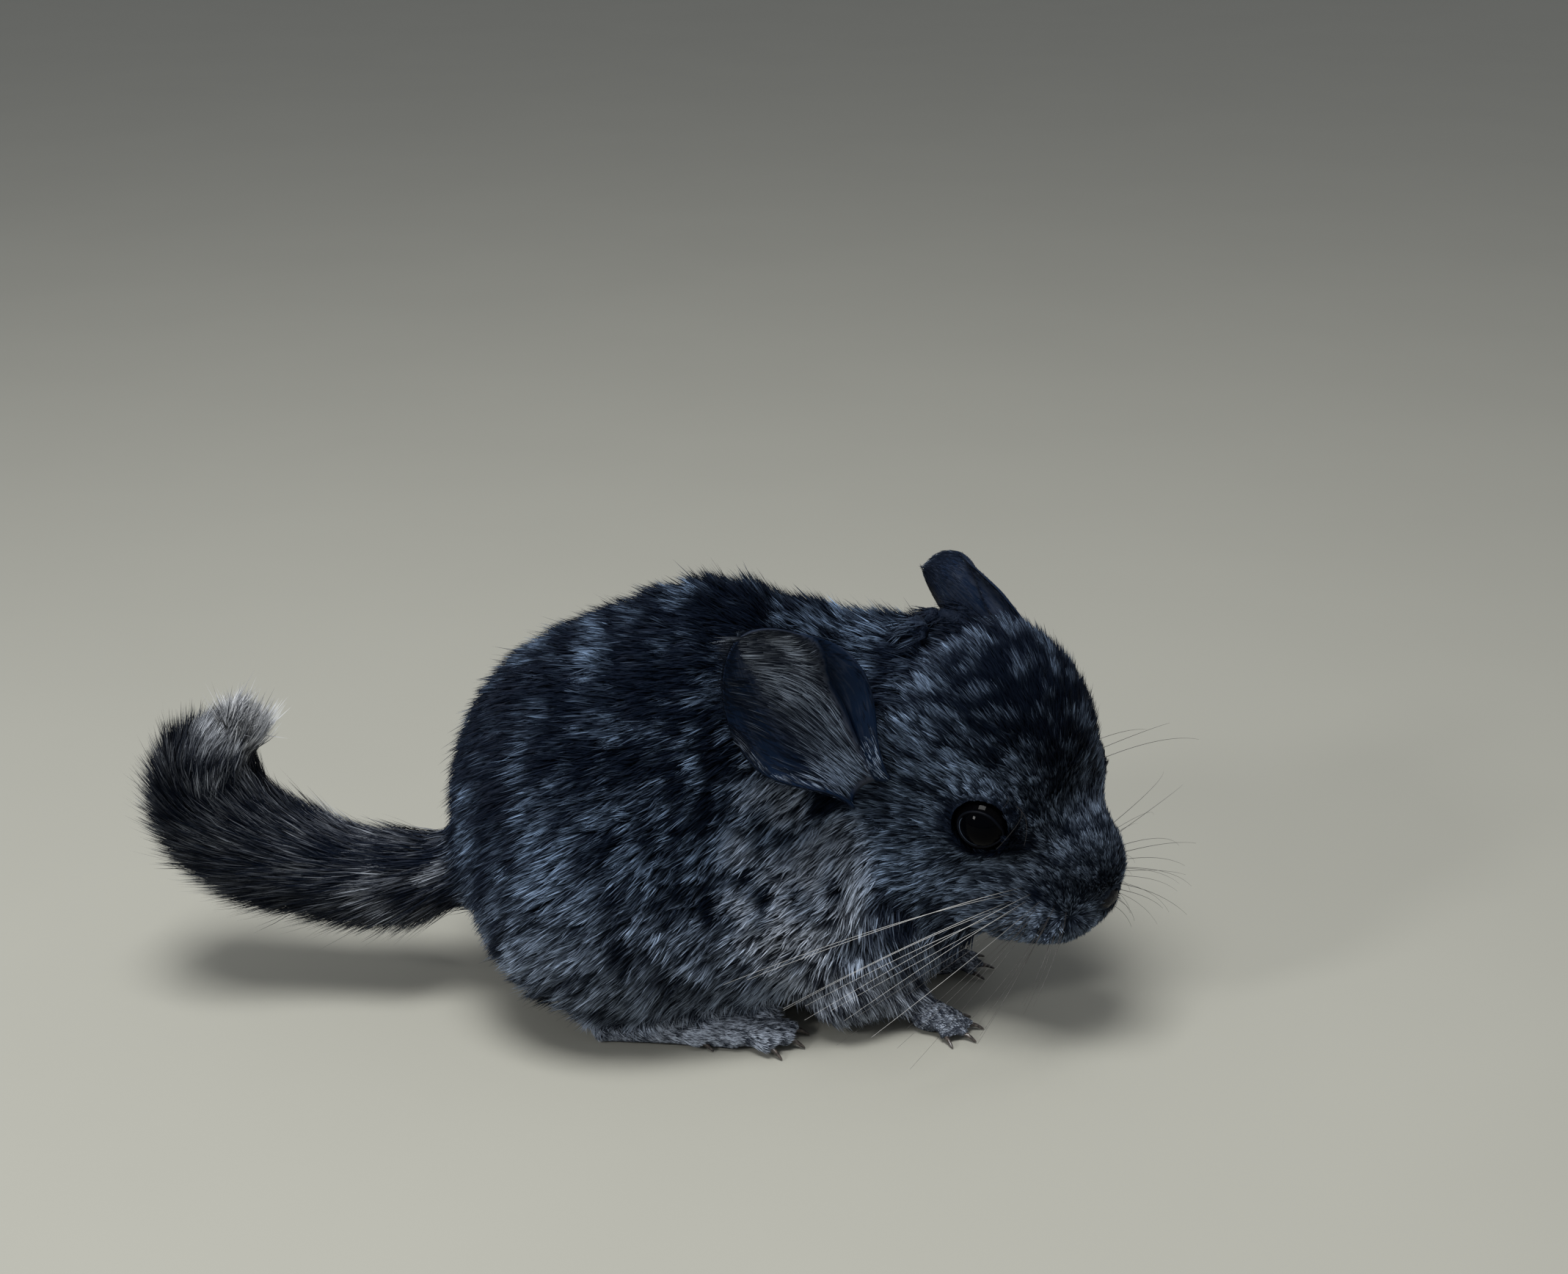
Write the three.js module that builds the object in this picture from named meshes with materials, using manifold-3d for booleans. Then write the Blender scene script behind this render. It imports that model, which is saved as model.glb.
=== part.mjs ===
// A young chinchilla, life size, crouched on all fours in side view with its head turned towards
// its right side, its ears laid back and its brush of a tail curled up behind it.
//
// Units are millimetres. +X is the way the body faces, +Y its left and +Z up. The floor is z = 0.
// Every surface here is the outside of the coat: the skin lies under it by the coat's depth.
//
// The flesh is one field of blended ellipsoids. Each named part is the piece of that field inside
// a region of its own, and neighbouring parts keep a thin gap between their facing sides.

import * as THREE from "three";
import { mergeVertices } from "three/addons/utils/BufferGeometryUtils.js";
import Module from "manifold-3d";

const wasm = await Module();
wasm.setup();

// Driving dimensions.
const GAP = 0.3; // between the facing sides of two parts
const SLIVER = 0.03; // no face of a solid is thinner than about this
const SOLE = 0; // the level of every flat that stands on the floor
const BODY = { width: 74, height: 92 }; // across the haunches, and from the floor to the back
const HEAD = { width: 49, height: 48, noseAhead: 27 }; // nose is measured from the line of the eyes
const EYE = { radius: 6, apart: 31, ahead: 1.4, high: 3, opening: 50 }; // the opening is the lid's half angle, in degrees
const EAR = { length: 42.5, width: 29.5, thickness: 1.2 };
// The radii of the tail's flesh and underfur, inside the locks, and the size of a lock.
const TAIL = { root: 8, brush: 10.4, lock: 17, wide: 5.6, lift: 1.7, around: 4 };
const FORE_FOOT = { length: 15, toes: 4 };
const HIND_FOOT = {
  width: 9.6,
  toes: [
    { spread: 38, length: 8 }, // outermost; degrees from straight ahead
    { spread: 10, length: 10.5 },
    { spread: -12, length: 11.5 },
  ],
};

const SIDES = { left: 1, right: -1 };
const DEGREE = Math.PI / 180;

const vec = (x, y, z) => new THREE.Vector3(x, y, z);
const mix = THREE.MathUtils.lerp;
const smooth = THREE.MathUtils.smoothstep;

// Draws in a fixed order, so that the part is the same each time.
let drawState = 20240;
function draw(low = 0, high = 1) {
  drawState = (drawState * 1664525 + 1013904223) % 4294967296;
  return low + ((high - low) * drawState) / 4294967296;
}

// Fields: a function of a point, negative inside and close to a distance near the surface.

/** An ellipsoid, turned by an optional Euler angle in degrees. */
function ellipsoid(centre, radii, turn = [0, 0, 0]) {
  const inverse = new THREE.Quaternion()
    .setFromEuler(new THREE.Euler(...turn.map((a) => a * DEGREE)))
    .invert();
  const q = new THREE.Vector3();
  return (p) => {
    q.copy(p).sub(centre).applyQuaternion(inverse);
    const near = Math.hypot(q.x / radii.x, q.y / radii.y, q.z / radii.z);
    const slope = Math.hypot(q.x / radii.x ** 2, q.y / radii.y ** 2, q.z / radii.z ** 2);
    return slope < 1e-9 ? -Math.min(radii.x, radii.y, radii.z) : (near * (near - 1)) / slope;
  };
}

/** A rod from a to b whose radius runs from ra to rb. */
function rod(a, b, ra, rb) {
  const along = b.clone().sub(a);
  const q = new THREE.Vector3();
  return (p) => {
    const t = THREE.MathUtils.clamp(q.copy(p).sub(a).dot(along) / along.lengthSq(), 0, 1);
    return q.copy(a).addScaledVector(along, t).distanceTo(p) - mix(ra, rb, t);
  };
}

/** The union of some fields, rounded over about `width` where they meet. */
function blend(width, ...fields) {
  return (p) =>
    fields.reduce((low, field) => {
      const next = field(p);
      const near = Math.max(width - Math.abs(low - next), 0) / width;
      return Math.min(low, next) - (near * near * width) / 4;
    }, Infinity);
}

/** Two mirrored copies of a field that is written for the left side. */
function onBothSides(make) {
  return [make(SIDES.left), make(SIDES.right)];
}

// Solids.

/** A closed geometry as a manifold. */
function solid(geometry) {
  const bare = geometry.index ? geometry.toNonIndexed() : geometry.clone();
  bare.deleteAttribute("normal");
  bare.deleteAttribute("uv");
  const merged = mergeVertices(bare, 1e-4);
  const made = new wasm.Manifold(
    new wasm.Mesh({
      numProp: 3,
      vertProperties: merged.attributes.position.array,
      triVerts: new Uint32Array(merged.index.array),
    }),
  );
  return made;
}

/** A manifold as a geometry, keeping only its largest closed surface, without its slivers. */
function geometryOf(manifold) {
  const size = (m) => Math.abs(m.volume());
  const body = manifold.decompose().reduce((a, b) => (size(b) > size(a) ? b : a));
  const mesh = body.simplify(SLIVER).getMesh();
  const points = new Float32Array(mesh.numVert * 3);
  for (let i = 0; i < mesh.numVert; i++) {
    points.set(mesh.vertProperties.subarray(i * mesh.numProp, i * mesh.numProp + 3), i * 3);
  }
  return new THREE.BufferGeometry()
    .setAttribute("position", new THREE.BufferAttribute(points, 3))
    .setIndex(new THREE.BufferAttribute(mesh.triVerts, 1));
}

/** A geometry from rings of points, closed by a fan to a point at each end. */
function rings(start, loops, end) {
  const points = [start, ...loops.flat(), end];
  const sides = loops[0].length;
  const faces = [];
  const at = (ring, side) => 1 + ring * sides + (side % sides);
  for (let i = 0; i < sides; i++) {
    faces.push(0, at(0, i + 1), at(0, i));
    faces.push(points.length - 1, at(loops.length - 1, i), at(loops.length - 1, i + 1));
    for (let r = 0; r + 1 < loops.length; r++) {
      faces.push(at(r, i), at(r, i + 1), at(r + 1, i + 1));
      faces.push(at(r, i), at(r + 1, i + 1), at(r + 1, i));
    }
  }
  return new THREE.BufferGeometry().setFromPoints(points).setIndex(faces);
}

/**
 * The surface where a field is `grow`, found outwards from `centre` along the rays of a sphere whose
 * pole is `axis`. `crowd` above 1 draws the rings towards the pole that `axis` points at.
 */
function skin(field, centre, axis, { count, sides, reach, crowd = 1, grow = 0 }) {
  const turn = new THREE.Quaternion().setFromUnitVectors(vec(1, 0, 0), axis.clone().normalize());
  const surface = (direction) => {
    const p = new THREE.Vector3();
    const at = (t) => field(p.copy(centre).addScaledVector(direction, t)) - grow;
    let far = 1;
    while (far < reach && at(far) < 0) far += 1.5;
    let near = far - 1.5;
    for (let i = 0; i < 14; i++) {
      const middle = (near + far) / 2;
      if (at(middle) < 0) near = middle;
      else far = middle;
    }
    return centre.clone().addScaledVector(direction, near);
  };
  const towards = (angle, round) =>
    vec(
      Math.cos(angle),
      Math.sin(angle) * Math.cos(round),
      Math.sin(angle) * Math.sin(round),
    ).applyQuaternion(turn);
  const loops = [];
  for (let r = 1; r < count; r++) {
    const angle = Math.PI * (1 - Math.pow(r / count, 1 / crowd));
    const loop = [];
    for (let s = 0; s < sides; s++) {
      loop.push(surface(towards(angle, ((s + (r % 2) / 2) / sides) * 2 * Math.PI)));
    }
    loops.push(loop);
  }
  return rings(surface(towards(Math.PI, 0)), loops, surface(towards(0, 0)));
}

/**
 * A closed tube along a curve, elliptical in section. `half(t)` gives its half sizes across and up,
 * and `up` is the direction that the second of them leans to.
 */
function tube(curve, half, { steps, sides, up, blunt = 0 }) {
  const loops = [];
  const last = blunt ? steps : steps - 1;
  for (let i = 0; i <= last; i++) {
    const t = i / steps;
    const centre = curve.getPoint(t);
    const along = curve.getTangent(t);
    const side = new THREE.Vector3().crossVectors(up, along).normalize();
    const high = new THREE.Vector3().crossVectors(along, side);
    const [a, b] = half(t);
    const loop = [];
    for (let s = 0; s < sides; s++) {
      const angle = (s / sides) * 2 * Math.PI;
      loop.push(
        centre
          .clone()
          .addScaledVector(side, a * Math.cos(angle))
          .addScaledVector(high, b * Math.sin(angle)),
      );
    }
    loops.push(loop);
  }
  const back = curve.getTangent(0).multiplyScalar(-blunt);
  const ahead = curve.getTangent(1).multiplyScalar(blunt);
  return rings(curve.getPoint(0).add(back), loops, curve.getPoint(1).add(ahead));
}

/** Everything on the far side of a plane: a big block whose one face is the plane. */
function beyond(point, normal, size = 300) {
  const block = new THREE.BoxGeometry(size, size, size);
  block.translate(size / 2, 0, 0);
  block.applyQuaternion(
    new THREE.Quaternion().setFromUnitVectors(vec(1, 0, 0), normal.clone().normalize()),
  );
  block.translate(point.x, point.y, point.z);
  return solid(block);
}

/** An ellipsoid as a solid, a little larger by `grow`. */
function ball(centre, radii, grow = 0, turn = [0, 0, 0], detail = [16, 10], matrix = null) {
  const shape = new THREE.SphereGeometry(1, ...detail);
  shape.scale(radii.x + grow, radii.y + grow, radii.z + grow);
  shape.applyQuaternion(
    new THREE.Quaternion().setFromEuler(new THREE.Euler(...turn.map((a) => a * DEGREE))),
  );
  shape.translate(centre.x, centre.y, centre.z);
  return solid(matrix ? shape.applyMatrix4(matrix) : shape);
}

const join = (...solids) => solids.flat().reduce((a, b) => a.add(b));

// The head's own frame: its origin is just behind the line of the eyes, +X to the nose, +Y left, +Z up.
const headGroup = new THREE.Group();
headGroup.position.set(62.3, -12, 49.8);
headGroup.rotation.set(3 * DEGREE, 26 * DEGREE, -37.5 * DEGREE, "ZYX");
headGroup.updateMatrix();
const toHead = headGroup.matrix.clone().invert();
const headPoint = (x, y, z) => vec(x, y, z).applyMatrix4(headGroup.matrix);

/** A field written in the head's frame, for use on points of the body's frame. */
function inBodyFrame(field) {
  const q = new THREE.Vector3();
  return (p) => field(q.copy(p).applyMatrix4(toHead));
}

/** A field written in the body's frame, for use on points of the head's frame. */
function inHeadFrame(field) {
  const q = new THREE.Vector3();
  return (p) => field(q.copy(p).applyMatrix4(headGroup.matrix));
}

// The flesh and coat of the head.
const wide = HEAD.width / 2;
const tall = HEAD.height / 2;
const headField = blend(
  5,
  ellipsoid(vec(-15, 0, 6), vec(26, wide, tall)), // cranium
  ...onBothSides((s) => ellipsoid(vec(-13, 10.5 * s, -9), vec(18, 13.5, 15))), // cheeks
  ...onBothSides((s) => ellipsoid(vec(6, 6.5 * s, -16.5), vec(13, 9, 11))), // lower cheeks
  ...onBothSides((s) => ellipsoid(vec(0.8, 9.8 * s, 3.2), vec(11, 8.4, 9))), // sockets
  ellipsoid(vec(HEAD.noseAhead - 16, 0, -2.6), vec(16, 11.6, 11)), // bridge
  ellipsoid(vec(20, 0, -11.5), vec(6.6, 7.5, 6.8)), // upper lip
  ...onBothSides((s) => ellipsoid(vec(17.5, 5.5 * s, -11.5), vec(8.5, 6.8, 8.2))), // whisker pads
  ellipsoid(vec(12, -1, -18.5), vec(10, 7, 6)), // chin
);

// The flesh and coat of the body.
const halfWidth = BODY.width / 2;
const bodyField = blend(
  10,
  ellipsoid(vec(-21, 0, 43), vec(32.5, halfWidth - 2, 39)), // rump
  ellipsoid(vec(2, 0, 54), vec(34.5, halfWidth - 8, BODY.height - 53.6)), // back
  ellipsoid(vec(26, 0, 46), vec(25, 21, 36)), // shoulders
  ellipsoid(vec(38, -4, 27), vec(18, 20, 22)), // chest
  ellipsoid(vec(0, 0, 23.4), vec(44, 34, 22)), // belly
  ...onBothSides((s) => ellipsoid(vec(-20, 19 * s, 30), vec(24, 18.5, 26))), // haunches
);
const neckField = rod(vec(28, 0, 65), headPoint(-18, 0, 3), 20, 21);
const wholeField = blend(7, bodyField, neckField, inBodyFrame(headField));

// Where the parts are divided.

/** A field with a hole cut in it, `depth` inside another field's surface. */
function hollowed(field, hole, depth) {
  return (p) => Math.max(field(p), -hole(p) - depth);
}

const bodySkinShape = { count: 26, sides: 28, reach: 150 };
const bodyCentre = vec(-2, 0, 46);
const FORWARD = vec(1, 0, 0);

/** The region of the head and throat, in the head's frame. */
const HEAD_REGION = { centre: vec(5, 0, 6), radii: vec(38, 36, 34) };
const headRegionField = ellipsoid(HEAD_REGION.centre, HEAD_REGION.radii);
const headRegion = (grow = 0, matrix = new THREE.Matrix4()) =>
  ball(HEAD_REGION.centre, HEAD_REGION.radii, grow, [0, 0, 0], [22, 16], matrix);

const bodyOnly = hollowed(wholeField, inBodyFrame(headRegionField), 3);
const bodySkin = solid(skin(bodyOnly, bodyCentre, FORWARD, bodySkinShape));

/** The body's outside, a gap larger, which the limbs and the tail are cut clear of. */
const bodyGuard = solid(skin(wholeField, bodyCentre, FORWARD, { ...bodySkinShape, grow: GAP }));

const neckRegion = (grow = 0) =>
  ball(vec(46, -6, 62), vec(26, 34, 28), grow, [0, 0, 0], [20, 14]);

/** The haunch of one side, as the region that is divided from the torso. */
const haunchRegion = (s, grow = 0) =>
  ball(vec(-23, 27 * s, 30), vec(26, 21, 25), grow, [0, 0, 0], [20, 14]);

const headInBody = headRegion(GAP, headGroup.matrix);

function makeTorso() {
  let torso = bodySkin.subtract(neckRegion(GAP)).subtract(headInBody);
  for (const s of Object.values(SIDES)) torso = torso.subtract(haunchRegion(s, GAP));
  return torso;
}

const makeHaunch = (s) =>
  bodySkin.intersect(haunchRegion(s)).subtract(beyond(vec(0, 13 * s, 0), vec(0, -s, 0)));

const makeNeck = () =>
  bodySkin.intersect(neckRegion()).subtract(headInBody);

// The head, in its own frame.
const padRegion = (s, grow = 0) =>
  ball(vec(18.5, 7.2 * s, -11.5), vec(8.2, 7, 6.6), grow, [0, 0, 0], [12, 8]).subtract(
    beyond(vec(0, (GAP / 2 - grow) * s, 0), vec(0, -s, 0)),
  );

const noseShape = (grow = 0) =>
  ball(vec(HEAD.noseAhead - 2.2, 0, -5.6), vec(2.8, 3.6, 2.7), grow, [0, 20, 0], [12, 8]);

const jawRegion = (grow = 0) =>
  ball(vec(9, 0, -24), vec(14, 8.5, 8.6), grow, [0, 14, 0], [14, 9]);

/** The middle of one eyeball. */
const eyeCentre = (s) => vec(EYE.ahead, (EYE.apart / 2) * s, EYE.high);

/** The way one eye looks: outwards, a little forwards and up. */
const eyeAxis = (s) => vec(0.3, s, 0.16).normalize();

function eyeShape(s, grow = 0) {
  const radius = EYE.radius + grow;
  return ball(eyeCentre(s), vec(radius, radius, radius), 0, [0, 0, 0], [14, 9]);
}

/** The lids of one eye: a collar that hugs the eyeball round its opening. */
function lids(s) {
  const inner = EYE.radius + GAP / 2;
  const outer = EYE.radius + 1.3;
  const arc = (radius, from, to, steps) =>
    Array.from({ length: steps + 1 }, (_, i) => {
      const angle = mix(from, to, i / steps) * DEGREE;
      return new THREE.Vector2(radius * Math.sin(angle), radius * Math.cos(angle));
    });
  const profile = [...arc(inner, 105, EYE.opening, 3), ...arc(outer, EYE.opening + 6, 105, 2)];
  profile.push(profile[0].clone());
  const collar = new THREE.LatheGeometry(profile, 16);
  collar.scale(1.12, 1, 0.94);
  collar.applyQuaternion(
    new THREE.Quaternion().setFromUnitVectors(vec(0, 1, 0), eyeAxis(s)),
  );
  collar.translate(...eyeCentre(s).toArray());
  const made = solid(collar);
  return made.volume() < 0 ? solid(turnedOut(collar)) : made;
}

/** The same closed geometry with its faces turned round. */
function turnedOut(geometry) {
  const index = geometry.index.array.slice();
  for (let i = 0; i < index.length; i += 3) {
    [index[i + 1], index[i + 2]] = [index[i + 2], index[i + 1]];
  }
  return geometry.clone().setIndex(new THREE.BufferAttribute(index, 1));
}

/** The whole head's skin, finest at the muzzle. */
const headSkin = solid(
  skin(inHeadFrame(wholeField), vec(-4, 0, -2), vec(1, 0, -0.2), {
    count: 25,
    sides: 28,
    reach: 80,
    crowd: 1.3,
  }),
).intersect(headRegion());

/** One nostril: a comma-shaped pit beside the nose. */
const nostril = (s) =>
  ball(vec(HEAD.noseAhead - 0.6, 3 * s, -8), vec(2.2, 0.75, 1.3), 0, [25 * s, 0, 28 * s], [8, 5]);

/** The head's outside, a gap larger, outside which the whiskers stay. */
const headClearance = solid(
  skin(inHeadFrame(wholeField), vec(-4, 0, -2), vec(1, 0, -0.2), {
    count: 20,
    sides: 24,
    reach: 80,
    grow: GAP,
  }),
);

/** The hollow in the coat round one eye's opening. */
const eyeHollow = (s) =>
  ball(eyeCentre(s).addScaledVector(eyeAxis(s), 10), vec(8.7, 8.7, 8.7), 0, [0, 0, 0], [14, 10]);

function makeHead() {
  let head = headSkin.subtract(eyeHollow(1)).subtract(eyeHollow(-1));
  head = join(head, lids(1), lids(-1));
  for (const s of Object.values(SIDES)) {
    head = head
      .subtract(eyeShape(s, GAP))
      .subtract(padRegion(s, GAP))
      .subtract(nostril(s));
  }
  return head.subtract(noseShape(GAP)).subtract(jawRegion(GAP));
}

function makeJaw() {
  let jaw = headSkin.intersect(jawRegion());
  for (const s of Object.values(SIDES)) jaw = jaw.subtract(padRegion(s, GAP));
  return jaw;
}

function makeNose() {
  return noseShape().subtract(nostril(1)).subtract(nostril(-1));
}

/** One whisker pad with its whiskers, which fan outwards, forwards and back from rows of roots. */
function makeWhiskerPad(s) {
  const pad = headSkin.intersect(padRegion(s)).subtract(noseShape(GAP));
  const whiskers = [];
  const rows = 4;
  const columns = 4;
  for (let row = 0; row < rows; row++) {
    for (let column = 0; column < columns; column++) {
      const back = column / (columns - 1);
      const low = row / (rows - 1);
      const root = vec(mix(21.5, 14, back), mix(7, 10.5, back) * s, mix(-7.5, -14, low));
      const swept = s === SIDES.right ? -0.4 : -0.05;
      const way = vec(
        mix(0.75, swept, back) + draw(-0.06, 0.06),
        s,
        mix(0.06, -0.45, low) + draw(-0.06, 0.06),
      ).normalize();
      const longest = s === SIDES.right ? 76 : 70;
      const length = mix(32, longest, back) * mix(1, 0.7, low) * draw(0.9, 1.08);
      whiskers.push(whisker(root, way, length));
    }
  }
  return join(pad, whiskers).subtract(headClearance.subtract(padRegion(s)));
}

/** One whisker: a fine tapered spine that droops towards its tip. */
function whisker(root, way, length) {
  const droop = vec(-0.04, 0, -0.07).multiplyScalar(length);
  const start = root.clone().addScaledVector(way, -5);
  const curve = new THREE.QuadraticBezierCurve3(
    start,
    start.clone().addScaledVector(way, length * 0.6),
    start.clone().addScaledVector(way, length + 5).add(droop),
  );
  const thick = (t) => mix(0.34, 0.12, t);
  return solid(
    tube(curve, (t) => [thick(t), thick(t)], { steps: 3, sides: 3, up: vec(0, 0, 1), blunt: 0.5 }),
  );
}

// The ears, each in a frame of its own: +Z from root to tip, +X the way the cup opens.

/** Half of the ear's width along its curved surface, from the root at 0 to the tip at 1. */
function earHalfWidth(t) {
  const widest = EAR.width / 2;
  const rise = mix(0.5, 1, smooth(t, 0, 0.5));
  const fall = t < 0.5 ? 1 : Math.sqrt(Math.max(0, 1 - ((t - 0.5) / 0.5) ** 2));
  return widest * rise * fall;
}

/** A point of the middle of the ear's thickness; across runs from -1 to 1 at the front rim. */
function earPoint(t, across) {
  const half = earHalfWidth(t);
  const wrap = mix(1.9, 0.75, smooth(t, 0, 0.45));
  const radius = half / wrap;
  const ridge = 0.66;
  const angle = Math.min(across, ridge) * wrap;
  const bend = Math.sin(Math.PI * t) - t;
  const point = vec(
    radius * (1 - Math.cos(angle)) - bend,
    radius * Math.sin(angle),
    EAR.length * t,
  );
  if (across > ridge) {
    // Past the ridge, the front rim rolls back, away from the opening.
    const roll = 3.6;
    const turn = ((across - ridge) * half) / roll;
    const share = 1 - smooth(t, 0.55, 0.95);
    const on = roll * Math.sin(turn);
    const behind = roll * (1 - Math.cos(turn)) * mix(-0.3, 1, share);
    point.x += on * Math.sin(angle) - behind * Math.cos(angle);
    point.y += on * Math.cos(angle) + behind * Math.sin(angle);
  }
  return point;
}

/** One ear as a closed shell, thinner towards its rim. */
function earShell() {
  const steps = 10;
  const columns = 9;
  const rows = [];
  for (let i = 0; i <= steps; i++) {
    const t = 0.99 * Math.sin(((i / steps) * Math.PI) / 2) ** 1.2;
    const thickness = mix(EAR.thickness, 0.8, t) / 2;
    const front = [];
    const back = [];
    for (let j = 0; j <= columns; j++) {
      const across = mix(-1, 1, j / columns);
      const point = earPoint(t, across);
      const along = earPoint(t, across + 0.01).sub(earPoint(t, across - 0.01)).normalize();
      const normal = vec(along.y, -along.x, 0).multiplyScalar(thickness);
      front.push(point.clone().add(normal));
      back.push(point.clone().sub(normal));
    }
    rows.push([...front, ...back.reverse()]);
  }
  return ringsFlat(rows);
}

/** Rings closed at both ends by strips across the ring, for thin flat shells. */
function ringsFlat(rows) {
  const sides = rows[0].length;
  const faces = [];
  const at = (row, side) => row * sides + (side % sides);
  for (let r = 0; r + 1 < rows.length; r++) {
    for (let i = 0; i < sides; i++) {
      faces.push(at(r, i), at(r, i + 1), at(r + 1, i + 1));
      faces.push(at(r, i), at(r + 1, i + 1), at(r + 1, i));
    }
  }
  const last = rows.length - 1;
  for (let i = 0; i < sides / 2 - 1; i++) {
    const [a, b, c, d] = [i, i + 1, sides - 2 - i, sides - 1 - i];
    faces.push(at(0, b), at(0, a), at(0, d), at(0, b), at(0, d), at(0, c));
    faces.push(at(last, a), at(last, b), at(last, c), at(last, a), at(last, c), at(last, d));
  }
  return new THREE.BufferGeometry().setFromPoints(rows.flat()).setIndex(faces);
}

// The two ears are laid back by different amounts.
const EAR_POSE = {
  right: { root: vec(-19.6, -28, 0), tip: vec(-0.66, -0.47, 0.63), open: vec(0.7, -0.61, 0.36) },
  left: { root: vec(-10.5, 22, 7.5), tip: vec(-0.98, 0.15, -0.02), open: vec(0.3, 0.9, 0.2) },
};

function makeEar(side) {
  const pose = EAR_POSE[side];
  const tip = pose.tip.clone().normalize();
  const open = pose.open.clone().addScaledVector(tip, -pose.open.dot(tip)).normalize();
  const across = new THREE.Vector3().crossVectors(tip, open);
  const place = new THREE.Matrix4().makeBasis(open, across, tip).setPosition(pose.root);
  let shape = earShell();
  if (side === "left") shape = turnedOut(shape.scale(1, -1, 1));
  const ear = solid(shape.applyMatrix4(place));
  return (ear.volume() < 0 ? solid(turnedOut(shape)) : ear).subtract(earRoot).subtract(earGuard);
}

/** The head's and the body's outsides in the head's frame, which the ears are cut clear of. */
const earRoot = solid(
  skin(inHeadFrame(wholeField), vec(-8, 0, -1), vec(1, 0, 0), {
    count: 20,
    sides: 28,
    reach: 80,
    grow: GAP,
  }),
);
const earGuard = solid(
  skin(wholeField, bodyCentre, FORWARD, { ...bodySkinShape, grow: GAP }).applyMatrix4(toHead),
);

// The legs.

/** A curved toe or claw between two points, arched upwards in the middle. */
function archedTube(from, to, rise, radii, detail) {
  const middle = from.clone().lerp(to, 0.5).add(vec(0, 0, rise));
  const curve = new THREE.QuadraticBezierCurve3(from, middle, to);
  return tube(curve, (t) => radii.map((r) => mix(r[0], r[1], t)), { up: vec(0, 0, 1), ...detail });
}

/** What is left of a foot above the floor, standing on flats. */
const onFloor = (m) => m.subtract(beyond(vec(0, 0, SOLE), vec(0, 0, -1)));

const FORE_FEET = {
  [SIDES.right]: { wrist: vec(41.5, -15.5, 6.5), palm: vec(45.3, -17.2, 3.2), heading: -20 * DEGREE },
  [SIDES.left]: { wrist: vec(45, 6, 6.5), palm: vec(49.5, 6.5, 3.2), heading: 18 * DEGREE },
};
const foreFoot = (s) => FORE_FEET[s];

/** The toes of one fore foot, fanned about the way it points. */
function foreToes(s) {
  const foot = foreFoot(s);
  return Array.from({ length: FORE_FOOT.toes }, (_, i) => {
    const spread = mix(-44, 44, i / (FORE_FOOT.toes - 1)) * DEGREE;
    const way = vec(Math.cos(foot.heading + spread), Math.sin(foot.heading + spread), 0);
    const length = FORE_FOOT.length * (i === 1 || i === 2 ? 0.56 : 0.46);
    const root = foot.palm.clone().addScaledVector(way, 1.5);
    const tip = foot.palm.clone().addScaledVector(way, length);
    tip.z = 1.3;
    return { root, tip, way };
  });
}

function makeForeFoot(s) {
  const foot = foreFoot(s);
  const palm = ball(foot.palm, vec(4.8, 4.2, 3.6), 0, [0, 0, foot.heading / DEGREE], [10, 6]);
  const toes = foreToes(s).map(({ root, tip }) =>
    solid(
      archedTube(root, tip, 1.9, [[1.7, 1.35], [1.6, 1.3]], { steps: 2, sides: 6, blunt: 0.8 }),
    ),
  );
  const wrist = solid(
    archedTube(foot.wrist, foot.palm, 0, [[3.4, 3.6], [3.2, 3]], { steps: 2, sides: 8, blunt: 1 }),
  );
  const claws = foreToes(s).map((toe) => clawShape(toe, CLAWS.fore, GAP));
  return onFloor(join(palm, toes, wrist)).subtract(makeForeleg(s, GAP)).subtract(join(claws));
}

/** The upper arm and forearm of one side, down to the wrist. */
function makeForeleg(s, grow = 0) {
  const foot = foreFoot(s);
  const elbow = vec(27, 18 * s, 11.5);
  const shoulder = vec(31, 15 * s, 24);
  const field = blend(
    4,
    rod(shoulder, elbow, 8.5, 8),
    rod(elbow, foot.wrist.clone().add(vec(-1, 0, 1.2)), 8, 4.8),
  );
  const arm = solid(
    skin(field, vec(30, 17 * s, 12.5), vec(1, 0, -0.3), {
      count: 12,
      sides: 14,
      reach: 60,
      grow,
    }),
  );
  if (grow) return arm;
  return onFloor(arm).subtract(bodyGuard);
}

const hindFoot = (s) => ({
  heel: vec(-22, 20 * s, 3.5),
  ball: vec(6.5, 23.5 * s, 2.6),
  setBack: { root: vec(-7, 23.5 * s, 3.6), tip: vec(-1.2, 25.6 * s, 1.7) },
});

/** The toes of one hind foot: three long ones, and a short outer one set well back. */
function hindToes(s) {
  const foot = hindFoot(s);
  const toes = HIND_FOOT.toes.map(({ spread, length }) => {
    const way = vec(Math.cos(spread * DEGREE), s * Math.sin(spread * DEGREE), 0);
    const root = foot.ball.clone().addScaledVector(way, 1);
    const tip = foot.ball.clone().addScaledVector(way, length);
    tip.z = 2.1;
    return { root, tip, way };
  });
  const way = vec(Math.cos(0.5), Math.sin(0.5) * s, 0);
  return [...toes, { ...foot.setBack, way }];
}

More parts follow.
